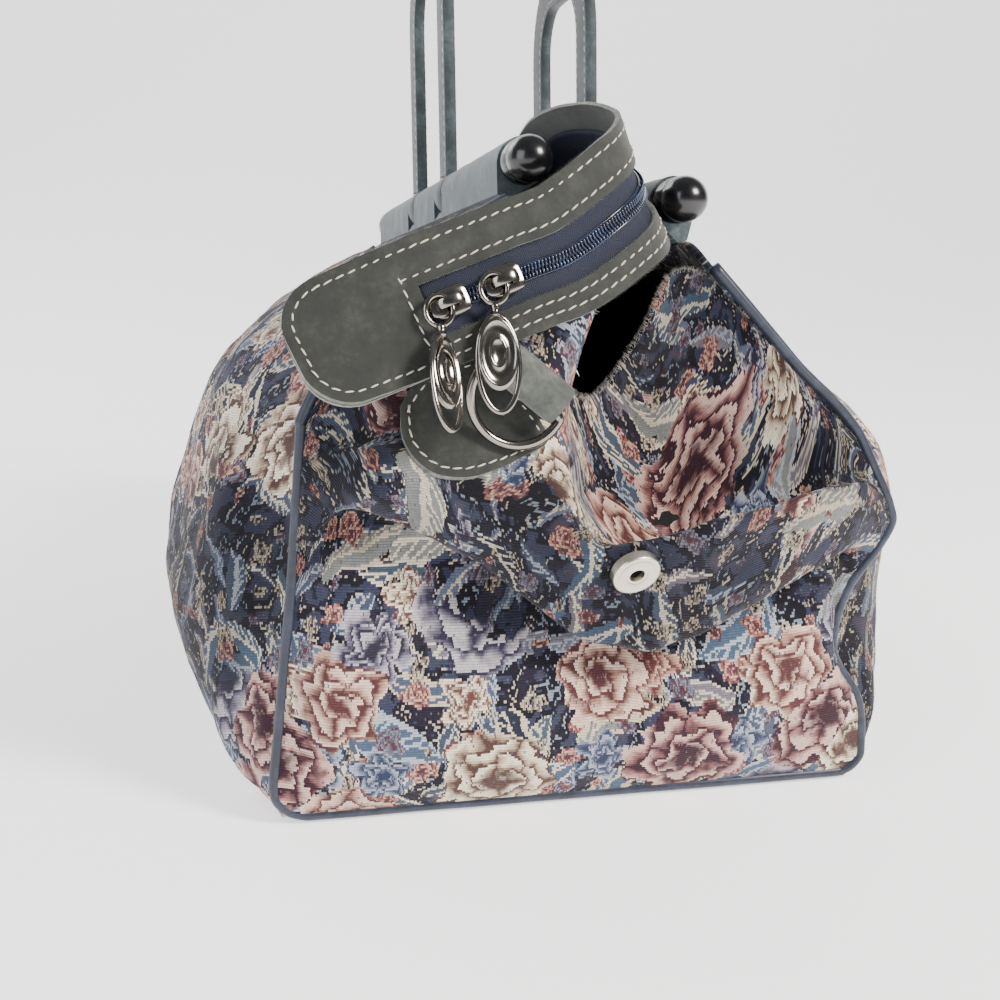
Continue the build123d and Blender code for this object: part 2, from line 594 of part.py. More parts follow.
def rear_patch():
    """The leather reinforcement under the rear ring."""
    plane = ring_plane("rear")
    back = LOOP_THICKNESS / 2 + CLEARANCE
    return plane.location * (Pos(0, -8, -back - PATCH_THICKNESS / 2) * Box(34, 50, PATCH_THICKNESS))


def snap_socket(centre, axis):
    """The holed half of a magnetic snap; the centre is the middle of its outer face."""
    plane = Plane(origin=centre, z_dir=axis)
    disc = Pos(0, 0, -SNAP_HEIGHT / 2) * Cylinder(SNAP_RADIUS, SNAP_HEIGHT)
    return plane.location * (disc - Pos(0, 0, -1.5) * Cylinder(SNAP_HOLE, 3.01))


def snap_stud(centre, axis):
    """The nosed half of a magnetic snap; the centre is the middle of its back."""
    plane = Plane(origin=centre, z_dir=axis)
    disc = Pos(0, 0, 1.0) * Cylinder(SNAP_RADIUS, 2.0)
    return plane.location * (disc + Pos(0, 0, 3.0) * Cylinder(STUD_NOSE, 2.0))


def stud_seat(end):
    """Where a stud sits behind its tab, and the way that it faces."""
    back = LEATHER + TAPE_GAP + TAPE_THICKNESS + CLEARANCE + BACKING + CLEARANCE
    if end == "front":
        plane = tail_plane(STUD_AT)
        return plane.origin - plane.z_dir * back, plane.z_dir * -1
    centre, tangent, _, face = FRAMES[-1]
    return centre - tangent * STUD_AT - face * back, face * -1


# ---------------------------------------------------------------- the parts
def build():
    """Every sub-part by its node name."""
    parts = {}
    inside = FABRIC + LINING_GAP
    for side in ("left", "right"):
        parts[f"{side}_side_panel"] = side_skin(side, 0, FABRIC)
        parts[f"{side}_lining"] = side_skin(side, inside, inside + LINING, end_gap=4.0, foot=LINING_FOOT)
        parts[f"{side}_rod"] = rod(side)
        parts[f"{side}_sleeve"] = sleeve(side)
        parts[f"{side}_handle"] = handle(side)
        for end in ("front", "rear"):
            parts[f"{side}_{end}_rod_cap"] = rod_cap(side, end)
    parts["front_end_panel"] = end_skin(front_lines(), 0, FABRIC)
    parts["rear_end_panel"] = end_skin(rear_lines(), 0, FABRIC)
    parts["front_lining"] = end_skin(front_lines(), inside, inside + LINING, inset=6.0)
    parts["rear_lining"] = end_skin(rear_lines(), inside, inside + LINING, inset=6.0)
    parts["front_piping"] = piping(FRONT_PIPING, -HALF)
    parts["rear_piping"] = piping(REAR_PIPING, HALF)
    parts["base_panel"] = base_plate(0, BASE_THICKNESS, 1.0)
    parts["base_board"] = base_plate(BASE_THICKNESS + CLEARANCE, BOARD_THICKNESS, 6.0)
    lining_z = BASE_THICKNESS + BOARD_THICKNESS + 2 * CLEARANCE
    parts["base_lining"] = base_plate(lining_z, LINING, 5.0)
    parts["zip_leather"] = zip_leather()
    for name, sign in (("upper", -1), ("lower", 1)):
        parts[f"{name}_zip_tape"] = zip_tape(sign)
        parts[f"{name}_zip_coil"] = zip_coil(sign)
    for name, at in (("lower", LOWER_SLIDER_AT), ("upper", UPPER_SLIDER_AT)):
        parts[f"{name}_slider"] = slider(at)
        parts[f"{name}_pull"] = pull(at, name)
    for end in ("front", "rear"):
        parts[f"{end}_tab_backing"] = tab_backing(end)
        parts[f"{end}_strap_ring"] = strap_ring(end)
        parts[f"{end}_strap_loop"] = strap_loop(end)
        parts[f"{end}_snap_stud"] = snap_stud(*stud_seat(end))
    parts["front_ring_patch"] = front_patch()
    parts["rear_ring_patch"] = rear_patch()
    parts["front_snap_socket"] = snap_socket(*FRONT_SNAP)
    centre, axis = stud_seat("rear")
    parts["rear_snap_socket"] = snap_socket(centre + axis * (2.0 + CLEARANCE), axis * -1)
    return parts


PARTS = build()
for name, shape in PARTS.items():
    export_step(shape if isinstance(shape, (Part, Compound, Solid)) else Part(shape), f"parts/{name}.step")
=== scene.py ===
"""Looks of a slumped tapestry travel bag with a doctor-bag mouth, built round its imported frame.

Lengths in the tables below are millimetres in the frame's own axes: X across the bag, Y along it
from the front end to the rear end, Z up. Every mesh is written in metres.
"""

import logging
import math
from collections.abc import Callable, Iterable, Mapping, Sequence
from dataclasses import dataclass, field
from enum import Enum
from functools import partial
from typing import Any

import bmesh
import bpy
import numpy as np
from bpy.types import Material, Node, NodeSocket, NodeTree, Object
from mathutils import Matrix, Vector, noise
from mathutils.bvhtree import BVHTree


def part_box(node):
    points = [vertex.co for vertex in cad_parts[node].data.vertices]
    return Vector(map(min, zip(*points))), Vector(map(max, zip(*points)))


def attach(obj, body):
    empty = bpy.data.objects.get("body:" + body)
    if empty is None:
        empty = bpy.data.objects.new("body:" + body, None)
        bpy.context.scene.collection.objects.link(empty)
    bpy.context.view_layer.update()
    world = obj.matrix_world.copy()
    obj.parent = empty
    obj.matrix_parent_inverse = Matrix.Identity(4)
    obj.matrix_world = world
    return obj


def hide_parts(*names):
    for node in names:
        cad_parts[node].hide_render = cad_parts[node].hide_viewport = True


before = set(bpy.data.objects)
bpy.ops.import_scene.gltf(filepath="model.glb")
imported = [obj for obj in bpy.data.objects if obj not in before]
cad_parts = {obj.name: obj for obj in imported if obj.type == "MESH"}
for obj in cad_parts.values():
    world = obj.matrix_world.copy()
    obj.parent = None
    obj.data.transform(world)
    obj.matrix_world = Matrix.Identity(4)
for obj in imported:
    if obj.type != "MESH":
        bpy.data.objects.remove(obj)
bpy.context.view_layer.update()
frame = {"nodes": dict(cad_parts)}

MM = 0.001
LOG = logging.getLogger("bag")
Point = Sequence[float]
Feed = Node | NodeSocket
Inputs = Mapping[str | int, Any] | Sequence[Any]
Adder = Callable[..., Node]


class Slot(Enum):
    """The record's material slots."""

    TAPESTRY = "tapestry"
    BASE = "base_vinyl"
    PIPING = "navy_vinyl"
    LINING = "lining_cloth"
    BOARD = "stiffener_board"
    ROD = "steel_rod"
    CAP = "black_cap"
    TAPE = "zip_tape"
    COIL = "zip_coil"
    METAL = "nickel"
    LOOP = "light_suede"
    NUBUCK = "nubuck"


class End(Enum):
    """The two ends of the bag, and the way that each faces along Y."""

    FRONT = -1
    REAR = 1


class Side(Enum):
    """The two long sides of the bag, and the way that each faces along X."""

    LEFT = -1
    RIGHT = 1


# ------------------------------------------------------------------ nodes and colours
def linear(code: str) -> tuple[float, float, float, float]:
    """Turns an sRGB hex colour into linear red, green, blue and alpha.

    Args:
        code: Six hex digits after a hash.

    Returns:
        The linear colour with alpha 1.
    """
    parts = [int(code[i:i + 2], 16) / 255 for i in (1, 3, 5)]
    red, green, blue = (c / 12.92 if c <= 0.04045 else ((c + 0.055) / 1.055) ** 2.4 for c in parts)
    return red, green, blue, 1.0


def feed(node: Node, inputs: Inputs) -> None:
    """Sets or links a node's inputs.

    Args:
        node: The node.
        inputs: For each socket, by name or in order, a value or the socket or node that feeds it.
    """
    for name, value in inputs.items() if isinstance(inputs, Mapping) else enumerate(inputs):
        if isinstance(value, Node):
            value = value.outputs[0]
        if isinstance(value, NodeSocket):
            node.id_data.links.new(value, node.inputs[name])
        else:
            node.inputs[name].default_value = value


def add_node(tree: NodeTree, kind: str, inputs: Inputs = (), operation: str = "", **settings) -> Node:
    """Adds one node to a tree.

    Args:
        tree: The node tree.
        kind: The node's type, without its family for a shader node.
        inputs: What feeds it, as feed() takes it.
        operation: What a maths node does.
        settings: The node's own properties.

    Returns:
        The new node.
    """
    node = tree.nodes.new(kind if kind.startswith(("Geometry", "Function", "NodeGroup")) else "ShaderNode" + kind)
    for name, value in settings.items():
        setattr(node, name, value)
    if operation:
        node.operation = operation
    feed(node, inputs)
    return node


def set_ramp(node: Node, stops: Sequence[tuple[float, str]], steps: bool = False) -> Node:
    """Sets a colour ramp's stops.

    Args:
        node: The ramp node.
        stops: Position and hex colour of each stop, in order.
        steps: Whether the colours change in steps.

    Returns:
        The same node.
    """
    ramp = node.color_ramp
    ramp.interpolation = "CONSTANT" if steps else "LINEAR"
    while len(ramp.elements) < len(stops):
        ramp.elements.new(0.5)
    for element, (position, code) in zip(ramp.elements, stops):
        element.position = position
        element.color = linear(code)
    return node


@dataclass(frozen=True)
class Finish:
    """A surface finish that is made into a material once."""

    name: str
    color: str = "#808080"
    roughness: float = 0.6

    def material(self) -> Material:
        """Returns the finish's material, made on first use."""
        found = bpy.data.materials.get(self.name)
        if found:
            return found
        made = bpy.data.materials.new(self.name)
        made.use_nodes = True
        shader = made.node_tree.nodes["Principled BSDF"]
        shader.inputs["Base Color"].default_value = linear(self.color)
        shader.inputs["Roughness"].default_value = self.roughness
        self.dress(partial(add_node, made.node_tree), shader)
        return made

    def dress(self, add: Adder, shader: Node) -> None:
        """Adds the finish's own nodes; a plain finish has none."""


@dataclass(frozen=True)
class Nubuck(Finish):
    """Buffed cowhide: a soft mottled nap, darker where handled, with a fine grain."""

    dark: str = "#34373a"
    light: str = "#63665f"
    blotch_mm: float = 14.0
    grain_mm: float = 0.5

    def dress(self, add: Adder, shader: Node) -> None:
        """Mottles the nap at two sizes and raises a fine grain."""
        place = add("TexCoord").outputs["Object"]
        blotch = add("TexNoise", {"Vector": place, "Scale": 1 / (self.blotch_mm * MM), "Detail": 6.0,
                                  "Roughness": 0.65})
        nap = add("TexNoise", {"Vector": place, "Scale": 1 / (1.6 * MM), "Detail": 4.0})
        blend = add("Math", [blotch, 0.75], "MULTIPLY")
        total = add("Math", [nap, 0.25, blend], "MULTIPLY_ADD")
        tone = set_ramp(add("ValToRGB", [total]), [(0.33, self.dark), (0.5, self.color), (0.68, self.light)])
        grain = add("TexNoise", {"Vector": place, "Scale": 1 / (self.grain_mm * MM), "Detail": 2.0})
        height = add("Math", [blotch, 2.5, grain], "MULTIPLY_ADD")
        bump = add("Bump", {"Height": height, "Strength": 0.45, "Distance": 0.15 * MM})
        feed(shader, {"Base Color": tone, "Normal": bump, "Sheen Weight": 0.22, "Sheen Roughness": 0.55,
                      "Specular IOR Level": 0.25})


@dataclass(frozen=True)
class Metal(Finish):
    """Nickel plate on a zinc casting: bright, faintly warm, with rubbed and dulled patches."""

    dull: float = 0.4
    blotch_mm: float = 4.0

    def dress(self, add: Adder, shader: Node) -> None:
        """Varies the gloss in rubbed patches and adds fine scratches."""
        place = add("TexCoord").outputs["Object"]
        rub = add("TexNoise", {"Vector": place, "Scale": 1 / (self.blotch_mm * MM), "Detail": 5.0})
        gloss = add("MapRange", {"Value": rub, "From Min": 0.35, "From Max": 0.7, "To Min": self.roughness,
                                 "To Max": self.dull})
        fine = add("TexNoise", {"Vector": place, "Scale": 1 / (0.7 * MM), "Detail": 3.0})
        bump = add("Bump", {"Height": fine, "Strength": 0.03, "Distance": 0.05 * MM})
        feed(shader, {"Metallic": 1.0, "Roughness": gloss, "Normal": bump})


@dataclass(frozen=True)
class Moulded(Finish):
    """Moulded or extruded plastic and vinyl: even colour, with a light bloom and a fine grain."""

    bloom: str = "#3a4152"
    grain_mm: float = 0.8
    relief: float = 0.1
    coat: float = 0.0

    def dress(self, add: Adder, shader: Node) -> None:
        """Adds scuffs to the colour and a low grain."""
        place = add("TexCoord").outputs["Object"]
        scuff = add("TexNoise", {"Vector": place, "Scale": 1 / (9 * MM), "Detail": 7.0, "Roughness": 0.7})
        tone = set_ramp(add("ValToRGB", [scuff]), [(0.45, self.color), (0.8, self.bloom)])
        grain = add("TexVoronoi", {"Vector": place, "Scale": 1 / (self.grain_mm * MM)})
        bump = add("Bump", {"Height": grain, "Strength": self.relief, "Distance": 0.2 * MM})
        feed(shader, {"Base Color": tone, "Normal": bump, "Coat Weight": self.coat, "Coat Roughness": 0.08})


@dataclass(frozen=True)
class Woven(Finish):
    """Plain or herringbone woven cloth and spun thread, its yarns following the piece's cloth map."""

    # The lighter colour of the yarn crests; the base colour in the grooves between yarns is painted shade.
    light: str = "#303c58"
    yarn_mm: float = 0.9
    slant: float = 1.0

    def dress(self, add: Adder, shader: Node) -> None:
        """Draws slanted yarns that change direction in bands, as a herringbone tape has, with painted shade in the
        grooves between them.
        """
        place = add("UVMap", uv_map="cloth")
        apart = add("SeparateXYZ", [place])
        band = add("Math", [apart.outputs[1], 3.2 * MM], "PINGPONG")
        lean = add("Math", [band, self.slant, apart], "MULTIPLY_ADD")
        phase = add("Math", [lean, math.tau / (self.yarn_mm * MM)], "MULTIPLY")
        wave = add("Math", [phase], "SINE")
        level = add("MapRange", {"Value": wave, "From Min": -1.0})
        # Painted shade: the yarns' crests take the light colour and the grooves between them the base colour.
        tone = set_ramp(add("ValToRGB", [level]), [(0.1, self.color), (0.8, self.light)])
        bump = add("Bump", {"Height": level, "Strength": 0.6, "Distance": 0.2 * MM})
        feed(shader, {"Base Color": tone, "Normal": bump})


@dataclass(frozen=True)
class Motif:
    """One kind of figure that the tapestry scatters, at its woven size."""

    cell_mm: float
    reach_mm: float
    shift: tuple[float, float]
    petals: float = 5.0
    frill: float = 0.2
    stretch: float = 1.0


@dataclass(frozen=True)
class Tapestry(Finish):
    """Jacquard tapestry: matte cotton weft in fat crosswise ribs, whose figures step from rib to rib."""

    pick_mm: float = 0.95
    end_mm: float = 0.5
    ground: str = "#17161f"
    rose: Motif = Motif(50.0, 22.0, (0.013, 0.007), 5.0, 0.2)
    daisy: Motif = Motif(33.0, 12.5, (0.101, 0.057), 5.0, 0.42)
    bud: Motif = Motif(14.0, 4.2, (0.051, 0.157), 4.0, 0.35)
    leaf: Motif = Motif(31.0, 20.0, (0.211, 0.107), stretch=0.36)
    frond: Motif = Motif(22.0, 14.0, (0.311, 0.257), stretch=0.3)

    def figure(self, add: Adder, place: Feed, motif: Motif) -> dict:
        """Places one motif in every cell of a loose grid.

        Args:
            add: Adds a node to the material's tree.
            place: The woven position in metres.
            motif: The figure's sizes.

        Returns:
            Sockets: across and along the figure, its radius share, angle and three random numbers.
        """
        cell = motif.cell_mm * MM
        moved = add("VectorMath", [place, (*motif.shift, 0.0)], "ADD")
        seed = add("TexVoronoi", {"Vector": moved, "Scale": 1 / cell, "Randomness": 0.8}, voronoi_dimensions="2D")
        local = add("VectorMath", [moved, seed.outputs["Position"]], "SUBTRACT")
        random = add("SeparateColor", [seed.outputs["Color"]])
        turn = add("Math", [random.outputs[0], math.tau], "MULTIPLY")
        turned = add("VectorRotate", {"Vector": local, "Angle": turn}, rotation_type="Z_AXIS")
        apart = add("SeparateXYZ", [turned])
        angle = add("Math", [apart.outputs[1], apart], "ARCTAN2")
        size = add("MapRange", {"Value": random.outputs[1], "To Min": motif.reach_mm * MM * 0.75,
                                "To Max": motif.reach_mm * MM * 1.25})
        return {"x": apart, "y": apart.outputs[1], "angle": angle, "size": size,
                "local": turned, "random": random}

    def bloom(self, add: Adder, place: Feed, motif: Motif, wobble: Feed) -> dict:
        """Makes a frilled flower: its outline and the bands of its petals.

        Args:
            add: Adds a node to the material's tree.
            place: The woven position in metres.
            motif: The flower's sizes.
            wobble: A noise that roughens the bands.

        Returns:
            Sockets: share of the way out, petal band from 0 to 1, nearness to a petal's middle, random numbers.
        """
        made = self.figure(add, place, motif)
        wave = add("Math", [made["angle"], motif.petals / 2], "MULTIPLY")
        swing = add("Math", [wave], "COSINE")
        lobe = add("Math", [swing], "ABSOLUTE")
        spread = add("MapRange", {"Value": lobe, "To Min": 1 - motif.frill, "To Max": 1.0})
        reach = add("Math", [spread, made["size"]], "MULTIPLY")
        away = add("VectorMath", [made["local"]], "LENGTH")
        share = add("Math", [away.outputs["Value"], reach], "DIVIDE")
        rough = add("Math", [wobble, 0.4, share], "MULTIPLY_ADD")
        swirl = add("Math", [made["angle"], 2 / math.tau], "MULTIPLY")
        ring = add("Math", [rough, 3.3, swirl], "MULTIPLY_ADD")
        band = add("Math", [ring], "FRACT")
        number = add("Math", [ring], "FLOOR")
        phase = add("Math", [number, math.pi / 2, wave], "MULTIPLY_ADD")
        side = add("Math", [phase], "COSINE")
        cleft = add("Math", [side], "ABSOLUTE")
        return {"share": rough, "band": band, "cleft": cleft, "random": made["random"]}

    def blade(self, add: Adder, place: Feed, motif: Motif) -> dict:
        """Makes a bent pointed leaf with a midrib and slanting side veins.

        Args:
            add: Adds a node to the material's tree.
            place: The woven position in metres.
            motif: The leaf's sizes.

        Returns:
            Sockets: share of the way from midrib to edge, the side veins' wave, the side and random numbers.
        """
        made = self.figure(add, place, motif)
        squared = add("Math", [made["x"], 2.0], "POWER")
        bent = add("Math", [squared, 14.0, made["y"]], "MULTIPLY_ADD")
        along = add("Math", [made["x"], made["size"]], "DIVIDE")
        taper = add("Math", [along, along], "MULTIPLY")
        width = add("MapRange", {"Value": taper, "To Min": motif.stretch, "To Max": 0.0})
        half = add("Math", [width, made["size"]], "MULTIPLY")
        off = add("Math", [bent], "ABSOLUTE")
        safe = add("Math", [half, 0.00001], "MAXIMUM")
        share = add("Math", [off, safe], "DIVIDE")
        slant = add("Math", [off, -1.3, made["x"]], "MULTIPLY_ADD")
        phase = add("Math", [slant, math.tau / (4.2 * MM)], "MULTIPLY")
        veins = add("Math", [phase], "SINE")
        side = add("Math", [bent, 0.0], "GREATER_THAN")
        return {"share": share, "veins": veins, "side": side, "random": made["random"]}

    def over(self, add: Adder, under: Feed, color: Feed, share: Feed, limit: float = 1.0) -> Feed:
        """Lays a figure's colour over what is under it, inside the figure's outline.

        Args:
            add: Adds a node to the material's tree.
            under: The colour so far.
            color: The figure's colour.
            share: The share of the way out to its outline.
            limit: The share at which the figure ends.

        Returns:
            The new colour.
        """
        inside = add("Math", [share, limit], "LESS_THAN")
        return add("Mix", {0: inside, 6: under, 7: color}, data_type="RGBA").outputs[2]

    def pick(self, add: Adder, value: Feed, stops: Sequence[tuple[float, str]]) -> Feed:
        """Returns a thread colour chosen in steps by a value."""
        return set_ramp(add("ValToRGB", [value]), stops, steps=True)

    def petals(self, add: Adder, flower: dict, light: Feed, middle: Feed, dark: Feed) -> Feed:
        """Colours a flower's petal bands from three thread colours, dark at each petal's root.

        Args:
            add: Adds a node to the material's tree.
            flower: The sockets that bloom made.
            light: The petals' edge thread.
            middle: The petals' body thread.
            dark: The thread at their roots and in the heart.

        Returns:
            The flower's colour.
        """
        cup = add("Math", [flower["cleft"], 0.55], "POWER")
        open_out = add("Math", [flower["band"], cup], "MULTIPLY")
        body = add("MapRange", {"Value": open_out, "From Min": 0.1, "From Max": 0.3})
        edge = add("MapRange", {"Value": open_out, "From Min": 0.3, "From Max": 0.66})
        first = add("Mix", {0: body, 6: dark, 7: middle}, data_type="RGBA").outputs[2]
        second = add("Mix", {0: edge, 6: first, 7: light}, data_type="RGBA").outputs[2]
        heart = add("MapRange", {"Value": flower["share"], "From Min": 0.34, "From Max": 0.16})
        return add("Mix", {0: heart, 6: second, 7: dark}, data_type="RGBA").outputs[2]

    def sparse_and_shaded(self, add: Adder, place: Feed, uneven: Feed) -> Feed:
        """Gathers the figures into repeating bouquets with figure-free ground between them; the same value later
        darkens that ground as painted shade and brightens the bouquets as painted light.

        Args:
            add: Adds a node to the material's tree.
            place: The woven position in metres.
            uneven: A noise that breaks up the repeat.

        Returns:
            0 inside a bouquet, rising to 1 on the figure-free ground, which is painted darker.
        """
        apart = add("SeparateXYZ", [place])
        broad = add("TexNoise", {"Vector": place, "Scale": 1 / (60 * MM), "Detail": 1.0}, noise_dimensions="2D")
        total = add("Math", [broad, 2.2, -1.1], "MULTIPLY_ADD")
        total = add("Math", [uneven, 0.8, total], "MULTIPLY_ADD")
        # These cosine bands set where the cloth is brightened as painted light and darkened as painted shade.
        for axis, (repeat, peak, weight) in enumerate(((125.0, 45.0, 0.3), (170.0, 28.0, 0.75))):
            phase = add("Math", [apart.outputs[axis], math.tau / (repeat * MM), -math.tau * peak / repeat],
                        "MULTIPLY_ADD")
            wave = add("Math", [phase], "COSINE")
            total = add("Math", [wave, weight, total], "MULTIPLY_ADD")
        return add("MapRange", {"Value": total, "From Min": 0.5, "From Max": -0.25})

    def dress(self, add: Adder, shader: Node) -> None:
        """Weaves the figures into ribs, with painted shade in the grooves between ribs and ends, and painted light and
        shade in broad bands of the cloth.
        """
        cloth = add("UVMap", uv_map="cloth")
        apart = add("SeparateXYZ", [cloth])
        pick, end = self.pick_mm * MM, self.end_mm * MM
        row = add("Math", [apart.outputs[1], pick], "DIVIDE")
        whole = add("Math", [row], "FLOOR")
        odd = add("Math", [whole, 2.0], "MODULO")
        offset = add("Math", [odd, end / 2, apart], "MULTIPLY_ADD")
        stepped = add("CombineXYZ", [offset, apart.outputs[1]])
        woven = add("VectorMath", [stepped, (end, pick, 1.0)], "SNAP")
        drift = add("TexNoise", {"Vector": woven, "Scale": 1 / (16 * MM), "Detail": 2.0}, noise_dimensions="2D")
        pull = add("VectorMath", [drift.outputs["Color"], (0.5, 0.5, 0.5)], "SUBTRACT")
        warp = add("VectorMath", [pull, (9 * MM, 9 * MM, 0.0), woven], "MULTIPLY_ADD")
        fine = add("TexNoise", {"Vector": woven, "Scale": 1 / (6 * MM), "Detail": 2.0}, noise_dimensions="2D")
        wobble = add("Math", [fine, 0.5], "SUBTRACT")

        blotch = add("TexNoise", {"Vector": warp, "Scale": 1 / (11 * MM), "Detail": 2.0}, noise_dimensions="2D")
        color = self.pick(add, blotch, [(0.0, "#2c3048"), (0.4, self.ground), (0.55, "#211b2b"), (0.63, "#2c3448"),
                                        (0.7, "#3f3547")])
        vine = add("Math", [blotch, 0.515], "SUBTRACT")
        thin = add("Math", [vine], "ABSOLUTE")
        sprig = self.pick(add, drift, [(0.0, "#6f7c8c"), (0.5, "#a99c8a")])
        color = self.over(add, color, sprig, thin, 0.012)

        sparse_and_shaded = self.sparse_and_shaded(add, warp, blotch)
        for motif, greens, rims in (
            (self.frond, [(0.0, "#343f54"), (0.35, "#54607a"), (0.6, "#6b6570"), (0.8, "#3a4c5c")],
             [(0.0, "#b9ad97"), (0.4, "#8d97a6"), (0.75, "#d3c5a9")]),
            (self.leaf, [(0.0, "#3d4960"), (0.3, "#1f2536"), (0.55, "#38506a"), (0.8, "#787b78")],
             [(0.0, "#c9bda4"), (0.45, "#9aa2ae"), (0.7, "#bfae8e")]),
        ):
            leaf = self.blade(add, warp, motif)
            chance, other = leaf["random"].outputs[1], leaf["random"].outputs[2]
            body = self.pick(add, chance, greens)
            rim = self.pick(add, other, rims)
            ribs = add("Math", [leaf["veins"], 0.45], "GREATER_THAN")
            shown = add("Math", [ribs, leaf["side"]], "MULTIPLY")
            ribbed = add("Mix", {0: shown, 6: body, 7: rim}, data_type="RGBA").outputs[2]
            midrib = self.over(add, ribbed, rim, leaf["share"], 0.12)
            inner = self.over(add, rim, midrib, leaf["share"], 0.74)
            thinned = add("Math", [sparse_and_shaded, 0.45, leaf["share"]], "MULTIPLY_ADD")
            color = self.over(add, color, inner, thinned)

        bud = self.bloom(add, warp, self.bud, wobble)
        petal = self.petals(add, bud, *(self.pick(add, bud["random"].outputs[1], stops) for stops in (
            [(0.0, "#b9a98e"), (0.4, "#77727f"), (0.7, "#c08b72")], [(0.0, "#8c7a66"), (0.4, "#4c5366"),
             (0.7, "#8a4b40")], [(0.0, self.ground), (0.5, "#4b2430")])))
        color = self.over(add, color, petal, add("Math", [bud["random"].outputs[2], 0.9, bud["share"]],
                                                 "MULTIPLY_ADD"), 1.25)

        for motif, threads in (
            (self.daisy, ([(0.0, "#dccfb4"), (0.3, "#8f98a8"), (0.5, "#c49a82"), (0.72, "#a49ca8")],
                          [(0.0, "#b7a384"), (0.3, "#545f74"), (0.5, "#9a6e5c"), (0.72, "#5d586c")],
                          [(0.0, "#5b2f2c"), (0.3, "#1f2c4a"), (0.5, "#5a2228"), (0.72, "#282434")])),
            (self.rose, ([(0.0, "#d2b09a"), (0.22, "#ddd0b4"), (0.5, "#c49c8c"), (0.8, "#a9a2a6")],
                         [(0.0, "#9c6f5c"), (0.22, "#a78d70"), (0.5, "#7e4a48"), (0.8, "#5f5a6a")],
                         [(0.0, "#4f2426"), (0.22, "#4a3029"), (0.5, "#331722"), (0.8, "#262238")])),
        ):
            flower = self.bloom(add, warp, motif, wobble)
            petal = self.petals(add, flower, *(self.pick(add, flower["random"].outputs[1], t) for t in threads))
            color = self.over(add, color, petal, add("Math", [sparse_and_shaded, flower["share"]], "ADD"))

        strand = add("TexWhiteNoise", {"Vector": woven}, noise_dimensions="2D").outputs["Value"]
        stray = add("Math", [strand, 0.985], "GREATER_THAN")
        mixed = add("Mix", {0: stray, 6: color, 7: linear("#4a4458")}, data_type="RGBA").outputs[2]
        level = add("MapRange", {"Value": strand, "To Min": 0.86, "To Max": 1.1})
        # Painted shade: the colour is darkened to 0.55 in the grooves between ribs and to 0.8 between warp ends.
        beat = add("Math", [row, math.pi], "MULTIPLY")
        swing = add("Math", [beat], "SINE")
        rib = add("Math", [swing], "ABSOLUTE")
        column = add("Math", [offset, math.pi / end], "MULTIPLY")
        sway = add("Math", [column], "SINE")
        tuft = add("Math", [sway], "ABSOLUTE")
        gap = add("MapRange", {"Value": rib, "From Max": 0.6, "To Min": 0.55, "To Max": 1.0})
        end_gap_shade = add("MapRange", {"Value": tuft, "From Max": 0.5, "To Min": 0.8, "To Max": 1.0})
        shade = add("Math", [gap, end_gap_shade], "MULTIPLY")
        total = add("Math", [shade, level], "MULTIPLY")
        # Painted light and shade: the colour's value is raised to 1.2 in the bouquets and lowered to 0.58 on the
        # figure-free ground between them.
        bright = add("MapRange", {"Value": sparse_and_shaded, "To Min": 1.2, "To Max": 0.58})
        faded_and_shaded = add("HueSaturation", {"Saturation": 0.82, "Value": bright, "Color": mixed})
        toned = add("VectorMath", {0: faded_and_shaded, "Scale": total}, "SCALE")
        relief = add("Math", [tuft, 0.4, rib], "MULTIPLY_ADD")
        bump = add("Bump", {"Height": relief, "Strength": 0.55, "Distance": 0.28 * MM})
        feed(shader, {"Base Color": toned, "Normal": bump, "Sheen Weight": 0.16, "Sheen Roughness": 0.5,
                      "Sheen Tint": linear("#c8c4c6"), "Specular IOR Level": 0.15})


@dataclass(frozen=True)
class Paper(Finish):
    """White backdrop paper, lit evenly through from behind."""

    glow: float = 1.1

    def dress(self, add: Adder, shader: Node) -> None:
        """Adds the even light."""
        feed(shader, {"Emission Color": linear("#ffffff"), "Emission Strength": self.glow})


TAPESTRY = Tapestry("jacquard_tapestry", roughness=0.9)
NUBUCK = Nubuck("grey_green_nubuck", "#2a2c28", 0.8, dark="#212321", light="#393b35", blotch_mm=9.0)
EDGE = Nubuck("raw_leather_edge", "#62645d", 0.9, dark="#44463f", light="#86877e", blotch_mm=2.5, grain_mm=0.4)
# The handle's leather: the sleeve's leather in a darker tone.
STRAP = Nubuck("handled_leather", "#2f383b", 0.6, dark="#1e2527", light="#4b585c")
SLEEVE = Nubuck("rod_sleeve_leather", "#434e52", 0.62, dark="#2b3437", light="#66757a")
SUEDE = Nubuck("strap_suede", "#50544f", 0.85, dark="#3d403d", light="#6d6f69", blotch_mm=8.0)
NICKEL = Metal("nickel_plate", "#8b867e", 0.1, dull=0.2)
SNAP_NICKEL = Metal("satin_nickel", "#d9d3c4", 0.3, dull=0.45)
STEEL = Metal("drawn_steel", "#8b8d90", 0.3)
VINYL = Moulded("piping_vinyl", "#1b2130", 0.42, bloom="#394052", relief=0.05)
BASE = Moulded("base_vinyl_cloth", "#14161d", 0.6, bloom="#2a2e38", grain_mm=1.4, relief=0.4)
GLOSS = Moulded("cap_plastic", "#0a0a0c", 0.26, bloom="#1a1a1d", relief=0.03, coat=0.3)
NYLON = Moulded("coil_nylon", "#1a2338", 0.22, bloom="#33415f", relief=0.02, coat=0.5)
BOARD = Moulded("fibreboard", "#4a4238", 0.9, bloom="#6a6154", grain_mm=0.6, relief=0.3)
TAPE = Woven("zip_tape_twill", "#060a16", 0.75, light="#131c36")
LINING = Woven("lining_cotton", "#090a0d", 0.9, light="#15171d", yarn_mm=0.7)
LINT = Woven("loose_weft_lint", "#8b8580", 0.95, light="#b5b0a8", yarn_mm=0.8)
